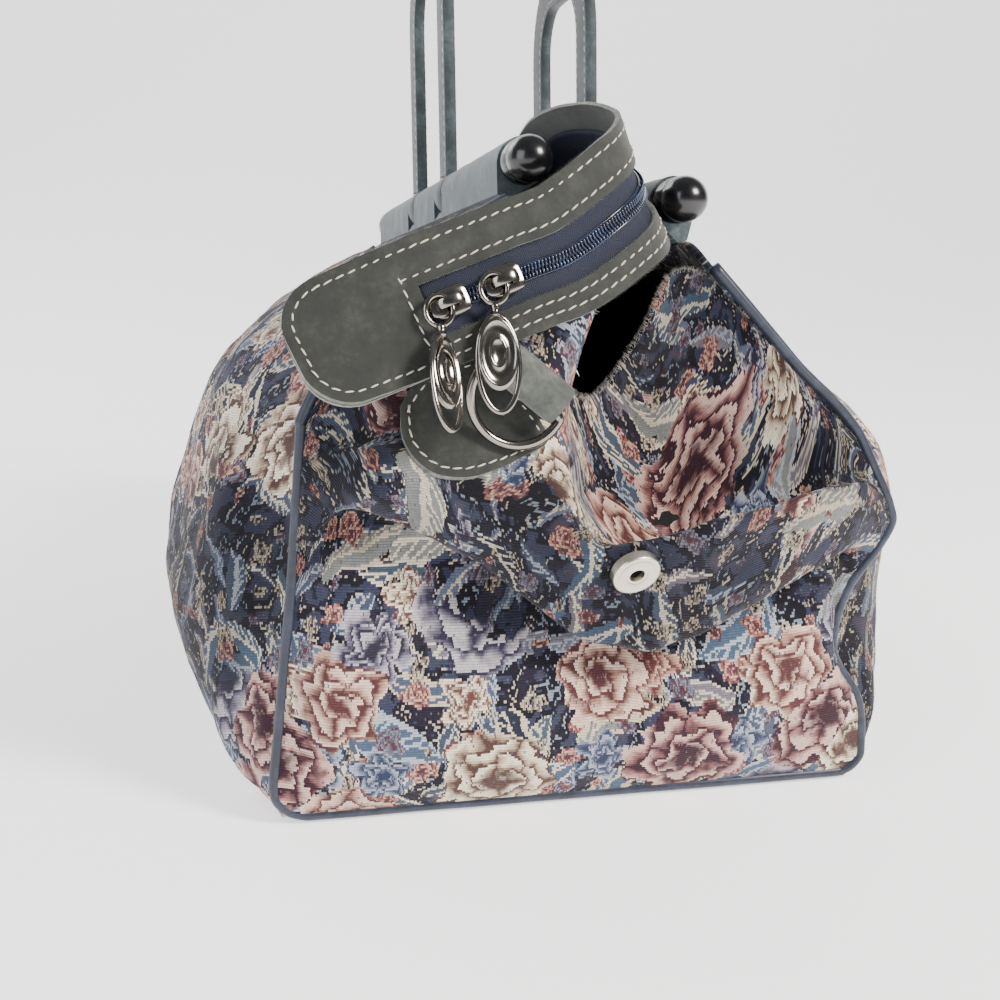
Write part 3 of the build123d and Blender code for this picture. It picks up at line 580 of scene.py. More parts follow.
THREAD = Woven("bonded_thread", "#b5ad9c", 0.6, light="#d6cfbe", yarn_mm=0.8, slant=2.0)


# ------------------------------------------------------------------ meshes
def spline(points: np.ndarray, steps: int) -> np.ndarray:
    """Runs a Catmull-Rom spline through the first axis of an array of points.

    Args:
        points: Control points along the first axis.
        steps: Points made for each span.

    Returns:
        The denser array, which still holds every control point.
    """
    ends = np.concatenate([2 * points[:1] - points[1:2], points, 2 * points[-1:] - points[-2:-1]])
    made = []
    for before, start, end, after in zip(ends, ends[1:], ends[2:], ends[3:]):
        for share in np.arange(steps) / steps:
            made.append(0.5 * (2 * start + (end - before) * share
                               + (2 * before - 5 * start + 4 * end - after) * share**2
                               + (3 * start - before - 3 * end + after) * share**3))
    made.append(points[-1])
    return np.array(made)


def dense(control: np.ndarray, up: int, over: int) -> np.ndarray:
    """Runs splines both ways through a grid of control points, with the given steps up and over it."""
    return spline(spline(control, up).transpose(1, 0, 2), over).transpose(1, 0, 2)


def relax(grid: np.ndarray, times: int) -> None:
    """Draws each inner point of a grid halfway towards the middle of its neighbours, in place."""
    for _ in range(times):
        around = (grid[:-2, 1:-1] + grid[2:, 1:-1] + grid[1:-1, :-2] + grid[1:-1, 2:]) / 4
        grid[1:-1, 1:-1] += (around - grid[1:-1, 1:-1]) * 0.5


def unit(vectors: np.ndarray) -> np.ndarray:
    """Scales vectors along the last axis to length one."""
    return vectors / np.maximum(np.linalg.norm(vectors, axis=-1, keepdims=True), 1e-9)


def grid_normals(points: np.ndarray) -> np.ndarray:
    """Returns the unit normals of a grid of points, first axis crossed with second axis."""
    return unit(np.cross(np.gradient(points, axis=0), np.gradient(points, axis=1)))


@dataclass
class Mould:
    """A mesh being put together, in millimetres, with an optional cloth coordinate for each point."""

    points: list[np.ndarray] = field(default_factory=list)
    faces: list[tuple[int, ...]] = field(default_factory=list)
    cloth: list[np.ndarray] = field(default_factory=list)
    count: int = 0

    def add(self, points: np.ndarray, faces: Iterable[Sequence[int]], cloth: np.ndarray | None = None) -> "Mould":
        """Adds loose geometry.

        Args:
            points: One row for each point.
            faces: Point numbers of each face, counted from this geometry's first.
            cloth: Flat-cloth position in millimetres of each point.

        Returns:
            The mould itself.
        """
        points = np.asarray(points, float).reshape(-1, 3)
        self.faces += [tuple(i + self.count for i in face) for face in faces]
        self.points.append(points)
        self.cloth.append(points[:, :2] * 0 if cloth is None else np.asarray(cloth, float).reshape(-1, 2))
        self.count += len(points)
        return self

    def grid(self, points: np.ndarray, wrap: bool = False, caps: bool = False, flip: bool = False,
             skip: Sequence[tuple[int, int]] = (), cloth: np.ndarray | None = None) -> "Mould":
        """Adds a grid of quads.

        Args:
            points: Rows by columns by 3.
            wrap: Whether the last column joins the first.
            caps: Whether the first and last rows are closed by a face each.
            flip: Whether the faces turn over.
            skip: Cells, by row and column, that stay open.
            cloth: Rows by columns by 2, or None.

        Returns:
            The mould itself.
        """
        rows, columns = points.shape[:2]
        left_out = set(skip)
        faces = []
        for row in range(rows - 1):
            for column in range(columns if wrap else columns - 1):
                if (row, column) in left_out:
                    continue
                after = (column + 1) % columns
                face = (row * columns + column, row * columns + after,
                        (row + 1) * columns + after, (row + 1) * columns + column)
                faces.append(face[::-1] if flip else face)
        if caps:
            first, last = tuple(range(columns)), tuple(range((rows - 1) * columns, rows * columns))
            faces += [first if flip else first[::-1], last[::-1] if flip else last]
        return self.add(points, faces, cloth)

    def tube(self, path: np.ndarray, radius: float | np.ndarray, sides: int = 12, closed: bool = False) -> "Mould":
        """Adds a round tube along a path.

        Args:
            path: The points of its middle line.
            radius: Its radius, or one for each point.
            sides: Sides of its section.
            closed: Whether its ends join.

        Returns:
            The mould itself.
        """
        path = np.asarray(path, float)
        if closed:
            ahead, behind = np.roll(path, -1, axis=0), np.roll(path, 1, axis=0)
        else:
            ahead, behind = np.vstack([path[1:], path[-1:]]), np.vstack([path[:1], path[:-1]])
        tangents = unit(ahead - behind)
        normal = np.cross(tangents[0], [0.0, 0.0, 1.0])
        if np.linalg.norm(normal) < 0.1:
            normal = np.cross(tangents[0], [0.0, 1.0, 0.0])
        sizes = np.broadcast_to(np.asarray(radius, float), (len(path),))
        rings = []
        for point, tangent, size in zip(path, tangents, sizes):
            normal = unit(normal - tangent * (normal @ tangent))
            other = np.cross(tangent, normal)
            turns = np.arange(sides) * math.tau / sides
            rings.append(point + size * (np.outer(np.cos(turns), normal) + np.outer(np.sin(turns), other)))
        if closed:
            rings.append(rings[0])
        return self.grid(np.array(rings), wrap=True, caps=not closed)

    def lathe(self, profile: Sequence[Point], centre: Point, axis: Point, sides: int = 32) -> "Mould":
        """Adds a turned shape.

        Args:
            profile: Radius and height pairs from the bottom of the axis to its top.
            centre: Where the height is zero.
            axis: The way that the height runs.
            sides: Sides of the turning.

        Returns:
            The mould itself.
        """
        up = unit(np.asarray(axis, float))
        across = unit(np.cross(up, [0.31, 0.42, 0.85]))
        other = np.cross(up, across)
        turns = np.arange(sides) * math.tau / sides
        ring = np.outer(np.cos(turns), across) + np.outer(np.sin(turns), other)
        rows = [np.asarray(centre, float) + up * height + ring * max(radius, 0.001) for radius, height in profile]
        return self.grid(np.array(rows), wrap=True, caps=True)

    def cast(self, name: str, finishes: Sequence[Finish], solid: bool = True) -> Object:
        """Turns the mould into an object at the origin, in metres.

        Args:
            name: The object's name.
            finishes: Its finish, and that of its raw rim where it has one.
            solid: Whether it is closed, so that its faces are turned outwards.

        Returns:
            The object.
        """
        data = bpy.data.meshes.new(name)
        data.from_pydata((np.vstack(self.points) * MM).tolist(), [], self.faces)
        layer = data.uv_layers.new(name="cloth")
        corners = np.zeros(len(data.loops), int)
        data.loops.foreach_get("vertex_index", corners)
        layer.data.foreach_set("uv", (np.vstack(self.cloth)[corners] * MM).astype(np.float32).ravel())
        if solid:
            work = bmesh.new()
            work.from_mesh(data)
            bmesh.ops.remove_doubles(work, verts=work.verts, dist=0.001 * MM)
            bmesh.ops.recalc_face_normals(work, faces=work.faces)
            work.to_mesh(data)
            work.free()
        data.polygons.foreach_set("use_smooth", [True] * len(data.polygons))
        made = bpy.data.objects.new(name, data)
        bpy.context.scene.collection.objects.link(made)
        for finish in finishes:
            data.materials.append(finish.material())
        return made


def settle(piece: Object, body: str, slot: Slot, replaces: Sequence[str] = ()) -> Object:
    """Ties a finished piece to its body, hides the nodes that it stands for, and reports it.

    Args:
        piece: The piece.
        body: The body that it rides on.
        slot: The record's slot for its finish; not used.
        replaces: The nodes that it stands for.

    Returns:
        The piece.
    """
    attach(piece, body)
    if replaces:
        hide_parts(*replaces)
    LOG.info("%s: %d faces, on %s", piece.name, len(piece.data.polygons), body)
    return piece


def thicken(piece: Object, thickness: float, rim: bool = False, bevel: float = 0.0) -> None:
    """Gives a sheet its thickness, inwards from its faces.

    Args:
        piece: The sheet.
        thickness: In millimetres.
        rim: Whether its cut edge takes the piece's second finish.
        bevel: Radius of its worn edges in millimetres, or none.
    """
    wall = piece.modifiers.new("wall", "SOLIDIFY")
    wall.thickness = thickness * MM
    wall.offset = -1.0
    if rim:
        wall.material_offset_rim = 1
    if bevel:
        worn = piece.modifiers.new("worn edge", "BEVEL")
        worn.width = bevel * MM
        worn.segments = 2
        worn.limit_method = "ANGLE"
        worn.angle_limit = math.radians(50)


def sharpen(piece: Object, degrees: float = 35.0) -> None:
    """Splits the shading at edges sharper than an angle."""
    piece.data.set_sharp_from_angle(angle=math.radians(degrees))


def ruffle(points: np.ndarray, size: float, height: float, seed: float, squeeze: Point = (1, 1, 1)) -> np.ndarray:
    """Makes a smooth random height for each point of a grid.

    Args:
        points: Rows by columns by 3.
        size: Width of the ruffles in millimetres.
        height: Their height in millimetres.
        seed: Moves the pattern.
        squeeze: Scales the pattern along each axis.

    Returns:
        Heights, rows by columns.
    """
    flat = points.reshape(-1, 3) * np.asarray(squeeze) / size + seed
    values = [noise.fractal(Vector(p), 1.0, 2.0, 3) for p in flat]
    return height * np.array(values).reshape(points.shape[:2])


def cloth_map(points: np.ndarray) -> np.ndarray:
    """Measures a grid along its rows and columns, so that a weave lies on it unstretched.

    Args:
        points: Rows by columns by 3; the rows run up the cloth.

    Returns:
        Rows by columns by 2, across and up, in millimetres.
    """
    up = np.linalg.norm(np.diff(points, axis=0), axis=-1)
    up = np.concatenate([np.zeros((1, points.shape[1])), np.cumsum(up, axis=0)])
    over = np.linalg.norm(np.diff(points, axis=1), axis=-1)
    over = np.concatenate([np.zeros((points.shape[0], 1)), np.cumsum(over, axis=1)], axis=1)
    middle = points.shape[1] // 2
    return np.stack([over - over[:, middle:middle + 1], up], axis=-1)


class Runner:
    """Repeats a small piece along a path by Geometry Nodes."""

    def __init__(self) -> None:
        """Builds the tree, whose inputs are the piece, its pitch, its random turn and its finish."""
        tree = bpy.data.node_groups.new("along a path", "GeometryNodeTree")
        self.tree = tree
        face = tree.interface
        face.new_socket(name="Geometry", in_out="INPUT", socket_type="NodeSocketGeometry")
        self.sockets = {
            name: face.new_socket(name=name, in_out="INPUT", socket_type=kind).identifier
            for name, kind in (("Piece", "NodeSocketObject"), ("Pitch", "NodeSocketFloat"),
                               ("Jitter", "NodeSocketFloat"), ("Finish", "NodeSocketMaterial"))
        }
        face.new_socket(name="Geometry", in_out="OUTPUT", socket_type="NodeSocketGeometry")
        add = partial(add_node, tree)
        start = add("NodeGroupInput")
        curve = add("GeometryNodeMeshToCurve", [start.outputs["Geometry"]])
        evenly = add("GeometryNodeResampleCurve", {"Curve": curve, "Length": start.outputs["Pitch"]}, mode="LENGTH")
        tangent = add("GeometryNodeInputTangent")
        out = add("GeometryNodeInputNamedAttribute", {"Name": "out"}, data_type="FLOAT_VECTOR")
        turned = add("FunctionNodeAlignRotationToVector", {"Vector": tangent}, axis="X")
        faced = add("FunctionNodeAlignRotationToVector", {"Rotation": turned, "Vector": out}, axis="Z", pivot_axis="X")
        low = add("Math", [start.outputs["Jitter"], -1.0], "MULTIPLY")
        shake = add("FunctionNodeRandomValue", {0: low, 1: start.outputs["Jitter"], "Seed": 7},
                    data_type="FLOAT_VECTOR")
        jolt = add("FunctionNodeRotateRotation", {"Rotation": faced, "Rotate By": shake}, rotation_space="LOCAL")
        shape = add("GeometryNodeObjectInfo", {"Object": start.outputs["Piece"]})
        copies = add("GeometryNodeInstanceOnPoints", {"Points": evenly, "Instance": shape.outputs["Geometry"],
                                                      "Rotation": jolt})
        real = add("GeometryNodeRealizeInstances", [copies])
        dressed = add("GeometryNodeSetMaterial", {"Geometry": real, "Material": start.outputs["Finish"]})
        add("NodeGroupOutput", [dressed])

    def run(self, name: str, paths: Sequence[tuple[np.ndarray, np.ndarray]], shape: Mould, pitch: float,
            finish: Finish, jitter: float = 0.0) -> Object:
        """Repeats a shape along paths and returns the result as one plain mesh.

        Args:
            name: The new object's name.
            paths: Points and outward directions of each path.
            shape: The repeated shape, its X along the path and its Z outwards.
            pitch: Distance from one to the next in millimetres.
            finish: The finish of the result.
            jitter: Largest random turn in radians.

        Returns:
            The object.
        """
        source = shape.cast(name + "_one", [])
        data = bpy.data.meshes.new(name)
        points = np.vstack([path for path, _ in paths]) * MM
        edges, start = [], 0
        for path, _ in paths:
            edges += [(start + i, start + i + 1) for i in range(len(path) - 1)]
            start += len(path)
        data.from_pydata(points.tolist(), edges, [])
        out = data.attributes.new("out", "FLOAT_VECTOR", "POINT")
        out.data.foreach_set("vector", np.vstack([o for _, o in paths]).astype(np.float32).ravel())
        guide = bpy.data.objects.new(name + "_guide", data)
        bpy.context.scene.collection.objects.link(guide)
        modifier = guide.modifiers.new("run", "NODES")
        modifier.node_group = self.tree
        modifier[self.sockets["Piece"]] = source
        modifier[self.sockets["Pitch"]] = pitch * MM
        modifier[self.sockets["Jitter"]] = jitter
        modifier[self.sockets["Finish"]] = finish.material()
        graph = bpy.context.evaluated_depsgraph_get()
        mesh = bpy.data.meshes.new_from_object(guide.evaluated_get(graph))
        mesh.name = name
        if "out" in mesh.attributes:
            mesh.attributes.remove(mesh.attributes["out"])
        mesh.polygons.foreach_set("use_smooth", [True] * len(mesh.polygons))
        made = bpy.data.objects.new(name, mesh)
        bpy.context.scene.collection.objects.link(made)
        bpy.data.objects.remove(guide)
        bpy.data.objects.remove(source)
        return made


def stitch(length: float = 2.9, width: float = 0.3, rise: float = 0.3) -> Mould:
    """Makes one sewn stitch, its ends sinking into the leather.

    Args:
        length: Along the seam.
        width: Radius of the thread.
        rise: Height of its middle above its ends.

    Returns:
        The stitch along X.
    """
    shares = np.linspace(-1, 1, 5)
    path = np.stack([shares * length / 2, shares * 0.18, rise * (1 - shares**2) - 0.25], axis=-1)
    return Mould().tube(path, width * np.array([0.55, 0.95, 1.0, 0.95, 0.55]), sides=6)


RUNNER = Runner()


def sew(name: str, runs: Sequence[tuple[np.ndarray, np.ndarray]], body: str = "bag", pitch: float = 4.0) -> None:
    """Sews rows of stitches in leather.

    Args:
        name: The piece's name.
        runs: Each row's points and outward directions.
        body: The body that they ride on.
        pitch: Length of one stitch with its gap, in millimetres.
    """
    settle(RUNNER.run(name, runs, stitch(), pitch, THREAD, 0.05), body, Slot.NUBUCK)


# ------------------------------------------------------------------ the bag's curves
# End panels' seams, from the base corner up to the mouth: outwards from the middle, then up.
FRONT_SEAM = {
    Side.LEFT: [(108, 3), (110, 14), (107.5, 36), (104.6, 62), (102, 84), (100.5, 100), (99.4, 112), (98.6, 122),
                (98, 129), (97.5, 135), (97.2, 139), (97, 141), (91, 153), (78, 173), (60, 191), (42, 204),
                (28.6, 211.4)],
    Side.RIGHT: [(103, 3), (106, 12), (104, 30), (93, 50), (97, 72), (108, 88), (113, 97), (112, 103), (110, 108),
                 (107, 114), (103, 122), (98, 131), (88, 142), (76, 153), (66, 164), (55, 176), (43, 189)],
}
REAR_SEAM = {
    Side.LEFT: [(108, 3), (109, 14), (108, 36), (106, 60), (104, 82), (102, 100), (99, 116), (93, 130), (81, 146),
                (64, 161), (45, 174), (29, 184)],
    Side.RIGHT: [(108, 3), (109, 14), (108, 34), (107, 52), (105, 68), (103, 84), (101, 96), (96, 110), (88, 124),
                 (75, 139), (60, 153), (44, 170)],
}
# Sections of the long sides between the two seams, by station along Y.
SIDE_SECTIONS = {
    Side.LEFT: {
        -178: [(109, 1), (115, 10), (116, 30), (114, 58), (110, 90), (106, 116), (103, 135), (95, 154), (81, 174),
               (61, 192), (42, 204), (26.8, 212.3)],
        -150: [(110, 1), (121, 8), (130, 26), (135, 54), (133, 86), (127, 112), (120, 135), (109, 155), (89, 175),
               (64, 193), (43, 203), (26.8, 210.5)],
        -100: [(108, 1), (122, 8), (136, 26), (144, 57), (141, 85), (136, 110), (129, 138), (118, 156), (99, 173),
               (72, 188), (47, 198), (26.8, 207.2)],
        -40: [(108, 1), (124, 8), (139, 26), (147, 52), (145, 80), (138, 106), (129, 130), (118, 148), (99, 166),
              (73, 182), (47, 194), (26.8, 202.8)],
        30: [(108, 1), (124, 8), (139, 26), (148, 48), (144, 76), (135, 102), (127, 124), (115, 142), (97, 160),
             (72, 175), (47, 188), (26.8, 198)],
        100: [(108, 1), (122, 8), (136, 25), (143, 46), (140, 72), (132, 96), (124, 114), (113, 132), (96, 151),
              (71, 168), (46, 182), (26.8, 192.9)],
        150: [(108, 1), (118, 8), (128, 24), (135, 46), (133, 70), (127, 92), (119, 110), (108, 127), (91, 146),
              (68, 162), (45, 177), (26.8, 189.2)],
        178: [(108, 1), (112, 10), (114, 28), (114, 52), (113, 76), (110, 96), (106, 112), (98, 128), (84, 145),
              (65, 161), (44, 175), (26.8, 187)],
    },
    Side.RIGHT: {
        -178: [(107, 1), (113, 10), (117, 28), (113, 50), (113, 72), (118, 88), (120, 98), (116, 110), (107, 124),
               (90, 141), (67, 163), (38.3, 196.8)],
        -150: [(108, 1), (120, 9), (127, 30), (130, 50), (132, 70), (133, 88), (131, 102), (126, 116), (116, 130),
               (98, 147), (72, 167), (38.3, 195)],
        -100: [(108, 1), (122, 8), (133, 28), (138, 48), (139, 68), (138, 88), (134, 104), (128, 120), (116, 136),
               (98, 152), (72, 170), (38.3, 191.9)],
        -40: [(108, 1), (123, 8), (136, 27), (141, 46), (141, 66), (138, 86), (132, 104), (125, 120), (112, 137),
              (94, 152), (70, 168), (38.3, 188)],
        30: [(108, 1), (123, 8), (136, 27), (141, 46), (140, 66), (136, 86), (129, 104), (121, 120), (108, 136),
             (91, 150), (68, 164), (38.3, 183.5)],
        100: [(108, 1), (121, 8), (132, 26), (137, 45), (135, 64), (130, 82), (123, 100), (115, 115), (103, 130),
              (88, 144), (66, 158), (38.3, 179)],
        150: [(108, 1), (117, 8), (125, 26), (129, 44), (128, 62), (124, 80), (118, 96), (111, 111), (100, 126),
              (85, 140), (65, 153), (38.3, 175.8)],
        178: [(108, 1), (112, 10), (114, 28), (114, 46), (113, 63), (111, 80), (108, 94), (103, 108), (94, 123),
              (80, 138), (62, 152), (38.3, 174)],
    },
}
# Front end panel between its seams: each column from the base over the belly, the crease under the
# folded lip, the lip and the bowl behind it, to the hem at the mouth.
FRONT_COLUMNS = [
    [(-92, -191, 3), (-92, -197, 14), (-90, -202, 36), (-87, -201, 66), (-84, -197, 109), (-83, -208, 114),
     (-82, -215, 123), (-80, -214, 133), (-78, -208, 138), (-75, -206, 147), (-70, -199, 163), (-62, -191, 183)],
    [(-64, -191, 3), (-64, -198, 14), (-63, -203, 36), (-61, -200, 64), (-60, -196, 102), (-60, -210, 105),
     (-59, -218, 114), (-58, -219, 124), (-56, -213, 132), (-53, -208, 143), (-48, -203, 165), (-42, -192, 190)],
    [(-40, -191, 3), (-40, -199, 14), (-39, -204, 36), (-38, -201, 60), (-37, -194, 96), (-36, -209, 90),
     (-35, -217, 99), (-34, -220, 110), (-32, -213, 121), (-30, -207, 138), (-27, -203, 160), (-24, -193, 183)],
    [(-18, -191, 3), (-18, -199, 14), (-18, -204, 34), (-17, -200, 54), (-17, -192, 80), (-15, -210, 71),
     (-14, -218, 84), (-12, -222, 100), (-12, -212, 110), (-13, -203, 127), (-13, -199, 150), (-12, -194, 178)],
    [(-3, -191, 3), (-3, -199, 14), (-4, -204, 33), (-4, -200, 50), (-5, -191, 74), (-5, -211, 65),
     (-4, -219, 82), (-3, -222, 100), (-4, -208, 105), (-8, -196, 124), (-8, -192, 152), (2, -190, 176)],
    [(8, -191, 3), (8, -199, 14), (7, -204, 32), (6, -200, 47), (5, -190, 71), (5, -212, 63), (6, -219, 81),
     (6, -222, 102), (5, -200, 98), (-1, -184, 110), (-5, -184, 130), (-8, -187, 153)],
    [(16, -191, 3), (16, -199, 14), (15, -204, 32), (14, -200, 46), (13, -190, 70), (12, -212, 62),
     (14, -219, 81), (14, -222, 104), (12, -193, 92), (5, -174, 104), (2, -176, 124), (0, -183, 144)],
    [(22, -191, 3), (22, -199, 14), (20, -204, 32), (19, -200, 46), (18, -190, 70), (18, -212, 62),
     (19, -219, 82), (20, -223, 106), (18, -190, 88), (15, -171, 98), (10, -172, 124), (9, -183, 150)],
    [(38, -191, 3), (37, -199, 14), (36, -204, 34), (35, -200, 48), (34, -190, 74), (34, -211, 66),
     (34, -219, 87), (35, -224, 110), (34, -189, 89), (33, -168, 99), (27, -171, 136), (21, -184, 168)],
    [(58, -191, 3), (57, -199, 14), (56, -203, 36), (54, -199, 53), (53, -190, 82), (52, -210, 74),
     (52, -217, 93), (52, -222, 113), (52, -190, 93), (50, -170, 104), (42, -174, 146), (31, -186, 187)],
    [(80, -191, 3), (80, -198, 14), (78, -202, 38), (76, -199, 58), (73, -192, 92), (72, -206, 84),
     (73, -212, 99), (74, -216, 115), (74, -193, 101), (71, -178, 112), (63, -181, 146), (50, -188, 180)],
    [(95, -191, 3), (96, -195, 12), (94, -198, 34), (88, -197, 58), (88, -193, 94), (90, -201, 92),
     (92, -204, 102), (93, -206, 113), (93, -198, 112), (91, -191, 120), (86, -190, 135), (76, -190, 153)],
]
HALF_LENGTH = 190.0
FRONT_ROWS = 12
# Y of each ring patch's back, where it isn't laid on the cloth.
FRONT_PATCH_Y, REAR_PATCH_Y = -209.0, 191.4
# The sliders' places along the strip.
LOWER_PLACE, UPPER_PLACE = 50.0, 68.5


@dataclass(frozen=True)
class RodLine:
    """One mouth rod's axis, and where its sleeve's two plies meet below it."""

    x: float
    front_z: float
    rear_z: float
    point: tuple[float, float]
    half: float = 178.0

    def at(self, y: float) -> np.ndarray:
        """Returns the axis point at a station."""
        share = (y + self.half) / (2 * self.half)
        return np.array([self.x, y, self.front_z + (self.rear_z - self.front_z) * share])

    @property
    def axis(self) -> np.ndarray:
        """The direction from the front to the rear."""
        return unit(self.at(self.half) - self.at(-self.half))


RODS = {Side.LEFT: RodLine(-19.7, 224.0, 197.0, (-7.0, -11.5)), Side.RIGHT: RodLine(34.1, 211.0, 188.0, (4.0, -14.0))}


@dataclass
class ClothBody:
    """The slumped tapestry body: two long sides, two end panels, their linings and the piping."""

    fabric: float = 2.4
    lining: float = 0.7
    lining_gap: float = 3.4
    piping: float = 2.0
    steps: int = 8
    seam_gap: float = 0.9

    def front_grid(self) -> np.ndarray:
        """Returns the front end panel's dense grid, rows going up and columns going right."""
        edge = -HALF_LENGTH - self.seam_gap
        left = [(-x, edge, z) for x, z in FRONT_SEAM[Side.LEFT][:FRONT_ROWS]]
        right = [(x, edge, z) for x, z in FRONT_SEAM[Side.RIGHT][:FRONT_ROWS]]
        control = np.array([left, *FRONT_COLUMNS, right], float).transpose(1, 0, 2)
        return self.wrinkled(dense(control, self.steps, self.steps), 1, 3.1)

    def rear_grid(self) -> np.ndarray:
        """Returns the rear end panel's dense grid, rows going up and columns going right."""
        shares = np.linspace(0, 1, 11)
        heights = np.array([0, 0.05, 0.16, 0.32, 0.5, 0.68, 0.84, 1.0])
        out = np.array([0, 3.6, 5, 5, 4, 3, 1.8, 0.6])
        tops = [(-99, 116), (-81, 146), (-64, 161), (-45, 174), (-24, 183), (0, 180), (22, 177), (44, 170),
                (62, 152), (80, 131), (101, 96)]
        columns = []
        for share, (top_x, top_z) in zip(shares, tops):
            base_x = -108 + 216 * share
            swell = math.sin(math.pi * share) ** 0.4 if 0 < share < 1 else 0.0
            bow = 8.0 * (2 * share - 1) * np.sin(math.pi * heights) * (0.3 if 0 < share < 1 else 1.0)
            x = base_x + (top_x - base_x) * heights**1.6 + bow * 0.3
            y = HALF_LENGTH + self.seam_gap + out * swell
            columns.append(np.stack([x, y, 3 + (top_z - 3) * heights], axis=-1))
        control = np.array(columns).transpose(1, 0, 2)
        return self.wrinkled(dense(control, self.steps, self.steps), -1, 8.7)

    def side_grid(self, side: Side) -> np.ndarray:
        """Returns a long side's dense grid, rows going up and columns going rearwards."""
        sign = side.value
        sections = []
        front = [FRONT_SEAM[side][i] for i in (0, 1, 2, 3, 4, 6, 9, 12, 13, 14, 15, 16)]
        for y, line in ((-HALF_LENGTH + self.seam_gap, front), *SIDE_SECTIONS[side].items(),
                        (HALF_LENGTH - self.seam_gap, REAR_SEAM[side])):
            sections.append([(sign * x, y, z) for x, z in line])
        control = np.array(sections, float).transpose(1, 0, 2)
        return self.wrinkled(dense(control, self.steps, self.steps + 2), -sign, 5.3 + sign)

    def wrinkled(self, grid: np.ndarray, turn: int, seed: float) -> np.ndarray:
        """Smooths a grid a little and gives it soft wrinkles that fade out at its edges.

        Args:
            grid: Rows by columns by 3.
            turn: 1 or -1, whichever turns its normals outwards.
            seed: Moves the wrinkles.

        Returns:
            The changed grid.
        """
        relax(grid, 3)
        rows, columns = grid.shape[:2]
        down = np.minimum(np.arange(rows), np.arange(rows)[::-1]) / 7
        over = np.minimum(np.arange(columns), np.arange(columns)[::-1]) / 7
        fade = np.clip(np.outer(np.minimum(down, 1), np.minimum(over, 1)), 0, 1)
        height = ruffle(grid, 46, 2.6, seed, (1, 1, 0.75)) + ruffle(grid, 15, 0.8, seed + 9, (1, 1, 0.6))
        return grid + grid_normals(grid) * (-turn * height * fade)[..., None]

    def pucker(self, grid: np.ndarray, turn: int) -> np.ndarray:
        """Pulls small puckers into a grid next to its piped edges."""
        rows, columns = grid.shape[:2]
        down = np.arange(rows)
        over = np.minimum(np.arange(columns), np.arange(columns)[::-1])
        near = np.exp(-((over - 3.0) / 2.5) ** 2)[None, :] * np.sin(down * 1.1 + np.sin(down * 0.37) * 2)[:, None]
        return grid + grid_normals(grid) * (turn * 0.35 * near)[..., None]

    def panel(self, name: str, grid: np.ndarray, flip: bool, node: str, shift: Point) -> None:
        """Makes one tapestry panel.

        Args:
            name: The piece's name.
            grid: Its outer face.
            flip: Whether its faces turn over to look outwards.
            node: The node that it stands for.
            shift: Moves its share of the cloth's pattern, in millimetres.
        """
        flat = cloth_map(grid)
        piece = Mould().grid(grid, flip=flip, cloth=flat + np.asarray(shift)).cast(name, [TAPESTRY], solid=False)
        thicken(piece, self.fabric)
        settle(piece, "bag", Slot.TAPESTRY, [node])
        self.declare(piece, flat)

    def declare(self, piece: Object, flat: np.ndarray) -> None:
        """Logs a piece's flat cut size, as its cloth map gives it."""
        width = float(np.mean(flat[:, -1, 0] - flat[:, 0, 0])) * MM
        length = float(np.mean(flat[-1, :, 1])) * MM
        LOG.info("%s: cut %.0f by %.0f mm", piece.name, width / MM, length / MM)

    def line(self, name: str, grid: np.ndarray, turn: int, flip: bool, node: str, trim: int) -> None:
        """Makes the lining behind a panel.

        Args:
            name: The piece's name.
            grid: The panel's outer face.
            turn: 1 or -1, whichever turns the grid's normals inwards.
            flip: Whether its faces turn over to look outwards.
            node: The node that it stands for.
            trim: Rows and columns left out along its edges.
        """
        calm = grid[::2, ::2] + grid_normals(grid[::2, ::2]) * turn * self.lining_gap
        calm = calm[trim:-1, trim:-trim]
        relax(calm, 6)
        flat = cloth_map(calm)
        piece = Mould().grid(calm, flip=flip, cloth=flat).cast(name, [LINING], solid=False)
        thicken(piece, self.lining)
        settle(piece, "bag", Slot.LINING, [node])
        self.declare(piece, flat)

    def edge(self, end: End) -> None:
        """Makes the cord-filled piping round an end panel."""
        seam = FRONT_SEAM if end is End.FRONT else REAR_SEAM
        left = [(-x, z) for x, z in seam[Side.LEFT]][::-1]
        right = list(seam[Side.RIGHT])
        corner_l = [(-107.6, 6.5), (-101, 2.8), (-90, 2.4)]
        reach = right[0][0]
        corner_r = [(reach - 13, 2.4), (reach - 3, 3.2), (reach + 1.8, 6.8)]
        flat = left[:-1] + corner_l + [(-40, 2.4), (20, 2.4)] + corner_r + right[1:]
        y = end.value * HALF_LENGTH
        path = spline(np.array([(x, y, z) for x, z in flat], float), 6)
        path[:, 1] += [noise.noise(Vector(p) / 30) * 0.8 for p in path]
        name = f"{end.name.lower()}_piping_cord"
        piece = Mould().tube(path, self.piping, sides=14).cast(name, [VINYL])
        settle(piece, "bag", Slot.PIPING, [f"{end.name.lower()}_piping"])

    def hem(self, front: np.ndarray) -> None:
        """Frays the front end panel's raw hem where it falls open in a slot."""
        edge, below = front[-1, 20:-12], front[-3, 20:-12]
        out = unit(edge - below)
        bend = np.linspace(0, 1, 5)
        hair = Mould().tube(np.stack([bend * 0.5, bend**2 * 0.3, bend * 2.4], -1), 0.085 * (1.2 - bend), sides=3)
        runs = [(edge + out * -0.6, out), (edge + out * -0.3 + [0, 1.2, 0], out)]
        settle(RUNNER.run("front_hem_fray", runs, hair, 0.55, LINT, 0.6), "bag", Slot.TAPESTRY)

